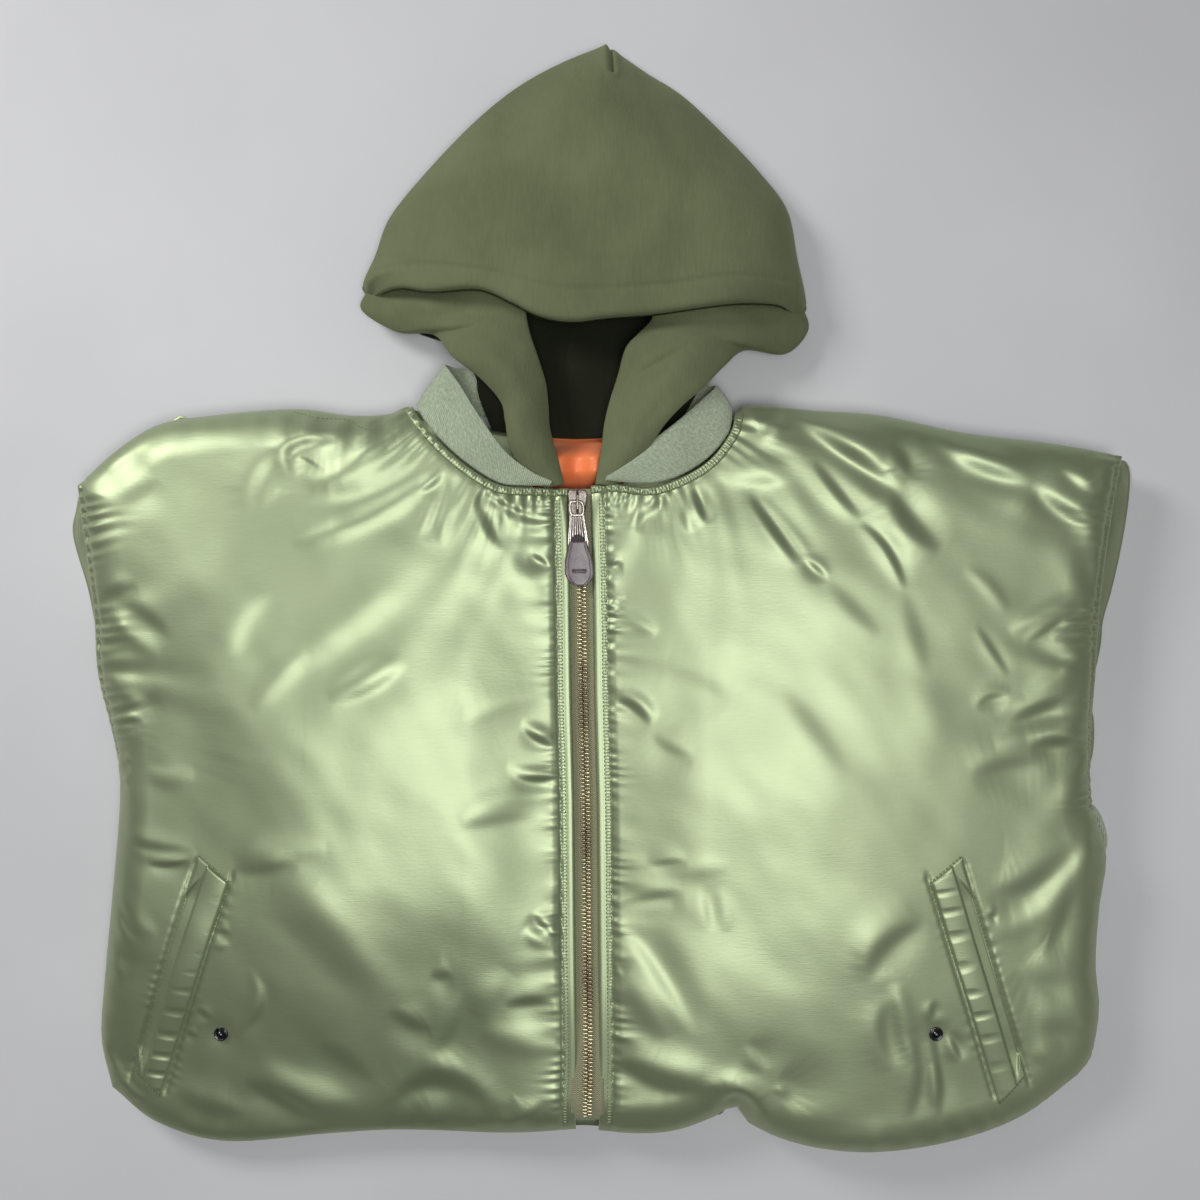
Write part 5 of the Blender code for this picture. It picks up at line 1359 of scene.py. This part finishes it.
def snap_cap(side, spot):
    """A turned cap: a domed middle in a ring, with a rolled rim."""
    base = float(front_top(np.array([[spot]], float))[0, 0])
    radius = np.array(SNAP_RADII)[:, None]
    height = base + np.array(SNAP_HEIGHTS)[:, None]
    turn = np.linspace(0, 2 * math.pi, 41)[:-1]
    grid = np.stack([spot[0] + radius * np.cos(turn), spot[1] + radius * np.sin(turn), height + 0 * turn],
                    axis=-1)
    ring, after, middle = rings_of(len(grid), len(turn))
    points = np.vstack([grid.reshape(-1, 3), (*spot, base + SNAP_CROWN), (*spot, base + SNAP_FOOT)])
    faces = (middle.tolist() + hub(ring.size, ring[0], after[0]).tolist()
             + hub(ring.size + 1, after[-1], ring[-1]).tolist())
    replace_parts(finished("snap_cap_" + side, points, faces, GUNMETAL), "snap_" + side)


snap_cap("left", LEFT_SNAP)
snap_cap("right", RIGHT_SNAP)


# --------------------------------------------------------------------------------------------- stitching
# Sage thread in short stitches, coloured a darker green, partly its own and partly painted shade along the
# seams: two rows beside the zip with cover stitches between them, one row inside each armhole, one round each
# pocket and one on the left shoulder.
STITCH = ellipsoid(3, 6, 1.0)
STITCH_LENGTH = 2.5
STITCH_GAP = 0.7
THREAD = 0.42


def thread_with_painted_seam_shade():
    """Twisted thread, lighter and darker green by turns, all of it a dark green that is partly the thread's
    own colour and partly painted shade along the seams.
    """
    made, tree, shader = new_finish("thread_with_painted_seam_shade", Roughness=0.6, Sheen_Weight=0.2)
    twist = grain(tree, "Object", (0.0005, 0.0005, 0.0005), 2.0)
    patterned(tree, shader, toned(tree, twist, [(0.3, (0.11, 0.145, 0.07)), (0.7, (0.22, 0.27, 0.14))]))
    return made


THREAD_AND_SEAM_SHADE = thread_with_painted_seam_shade()


def sewn(name, rows, lift=0.15):
    """Stitches end to end along rows of plan points, lying on front_top."""
    places, runs = [], []
    for row in rows:
        row = np.asarray(row, float)
        walked = walked_to(row)
        length = walked[-1]
        count = max(int(length / (STITCH_LENGTH + STITCH_GAP)), 2)
        spots = (np.arange(count) + 0.5) / count
        ends = []
        for shift in (-0.45, 0.45):
            at = np.clip(spots + shift * STITCH_LENGTH / length, 0, 1) * length
            plan = np.stack([np.interp(at, walked, row[:, 0]), np.interp(at, walked, row[:, 1])], axis=-1)
            ends.append(lifted(plan[None], front_top(plan[None]))[0])
        places.append((ends[0] + ends[1]) / 2 + (0, 0, lift))
        runs.append(ends[1] - ends[0])
    return many(name, np.vstack(places), np.vstack(runs), UP, (STITCH_LENGTH / 2, THREAD, THREAD), STITCH,
                THREAD_AND_SEAM_SHADE)


def beside_zip(y, off):
    """A row of plan points at a distance from the middle of the zip, to the right where it is above 0."""
    return np.column_stack([zip_x(y) + off, y])


row_y = np.linspace(-412, 70, 60)
sewn("zip_stitches", [beside_zip(row_y, side * row) for side in (-1, 1) for row in ZIP_STITCHES])
cover_y = np.arange(-410, 68, 2.4)
cover = np.vstack([beside_zip(cover_y, side * sum(ZIP_STITCHES) / 2) for side in (-1, 1)])
cover = lifted(cover[None], front_top(cover[None]) + 0.05)[0]
many("zip_cover_stitches", cover, ACROSS, UP, (1.8, 0.5, 0.4), STITCH, NYLON)


ARMHOLE_INSET = 6.0
sewn("armhole_stitches", [line + leftward(line) * side * ARMHOLE_INSET
                          for line, side in zip(ARMHOLES, (1, -1))])
SHOULDER_STITCHES = [(-236, 137), (-217, 131), (-192, 130), (-183, 124), (-173, 120)]
sewn("shoulder_stitches", [SHOULDER_STITCHES])


def grown(corners, amount):
    """A pocket's outline, each corner moved out from the middle by an amount in x and y."""
    corners = np.asarray(corners, float)
    middle = corners.mean(axis=0)
    ring = corners + np.sign(corners - middle) * amount
    return np.vstack([ring, ring[:1]])


sewn("pocket_stitches", [grown(LEFT_WELT, 0.6), grown(RIGHT_WELT, 0.6)], 0.75)


# ------------------------------------------------------------------------------------------------ studio
# A pale floor under a large dim sky, one soft light from the upper left and one from above, and a camera
# straight above, as a flat garment is shown.
CAMERA_HEIGHT = 1.1
VIEW_HALF = 0.456                       # half the width seen at the height of the zip
VIEW_LEVEL = 0.050
FLOOR_HALF = 20.0
# Each: a direction x, y, where along it the sky starts and ends to dim, and what is left of it there
SKY_DIMS = ((0.6, 0.8, -0.13, -0.36, 0.08), (0.7, 0.7, 0.14, 0.40, 0.35))
# Each: name, place, width and power
LAMPS = (("key", (-1.15, 0.95, 1.10), 0.6, 15.8), ("top", (0.13, -0.27, 1.9), 0.75, 17.0))


def pale_floor():
    """A flat square of pale, slightly uneven matt floor."""
    ground = bpy.data.meshes.new("floor")
    ground.from_pydata([(x * FLOOR_HALF, y * FLOOR_HALF, 0) for x, y in ((-1, -1), (1, -1), (1, 1), (-1, 1))],
                       [], [(0, 1, 2, 3)])
    finish, tree, shader = new_finish("pale_floor", Roughness=0.85)
    tone = grain(tree, "Object", (0.35, 0.35, 0.35), 4.0)
    patterned(tree, shader, toned(tree, tone, [(0.3, (0.56, 0.56, 0.57)), (0.7, (0.63, 0.63, 0.64))]))
    ground.materials.append(finish)
    floor = bpy.data.objects.new("floor", ground)
    floor.location.z = -0.0005
    bpy.context.scene.collection.objects.link(floor)


def sky():
    """A sky that is brightest overhead and at the horizon, dimmed towards the lower left and upper right."""
    world = bpy.data.worlds.new("studio")
    world.use_nodes = True
    tree = world.node_tree
    tree.nodes["Background"].inputs["Color"].default_value = (0.95, 0.97, 1.0, 1.0)
    place, parts = node(tree, "ShaderNodeTexCoord"), node(tree, "ShaderNodeSeparateXYZ")
    tree.links.new(place.outputs["Generated"], parts.inputs["Vector"])
    strength = toned(tree, parts.outputs["Z"], [(0.10, (0.36, 0.36, 0.36)), (0.28, (0.18, 0.18, 0.18)),
                                                (0.95, (0.48, 0.48, 0.48))])
    for across, along, near, far, least in SKY_DIMS:
        towards = node(tree, "ShaderNodeVectorMath", {1: (across, along, 0.0)}, operation="DOT_PRODUCT")
        tree.links.new(place.outputs["Generated"], towards.inputs[0])
        dim = node(tree, "ShaderNodeMapRange",
                   {"From Min": near, "From Max": far, "To Min": 1.0, "To Max": least})
        tree.links.new(towards.outputs["Value"], dim.inputs["Value"])
        dimmed = node(tree, "ShaderNodeMath", operation="MULTIPLY")
        tree.links.new(strength, dimmed.inputs[0])
        tree.links.new(dim.outputs["Result"], dimmed.inputs[1])
        strength = dimmed.outputs["Value"]
    tree.links.new(strength, tree.nodes["Background"].inputs["Strength"])
    bpy.context.scene.world = world


def lamps_and_camera():
    """Round area lamps turned to the middle of the jacket, and a camera that looks straight down."""
    for name, spot, size, power in LAMPS:
        lamp = bpy.data.lights.new(name, "AREA")
        lamp.shape = "DISK"
        lamp.size = size
        lamp.energy = power
        made = bpy.data.objects.new(name, lamp)
        made.location = spot
        towards = np.array([0.0, -0.02, 0.04]) - np.array(spot)
        flat = math.hypot(towards[0], towards[1])
        made.rotation_euler = (math.atan2(flat, -towards[2]), 0.0, math.atan2(-towards[0], towards[1]))
        bpy.context.scene.collection.objects.link(made)
    lens = bpy.data.cameras.new("camera")
    lens.sensor_width = 36.0
    lens.lens = lens.sensor_width / 2 * (CAMERA_HEIGHT - VIEW_LEVEL) / VIEW_HALF
    lens.clip_end = 20.0
    camera = bpy.data.objects.new("camera", lens)
    camera.location = (-0.0017, -0.0036, CAMERA_HEIGHT)
    bpy.context.scene.collection.objects.link(camera)
    bpy.context.scene.camera = camera
    bpy.context.scene.view_settings.view_transform = "Standard"


pale_floor()
sky()
lamps_and_camera()
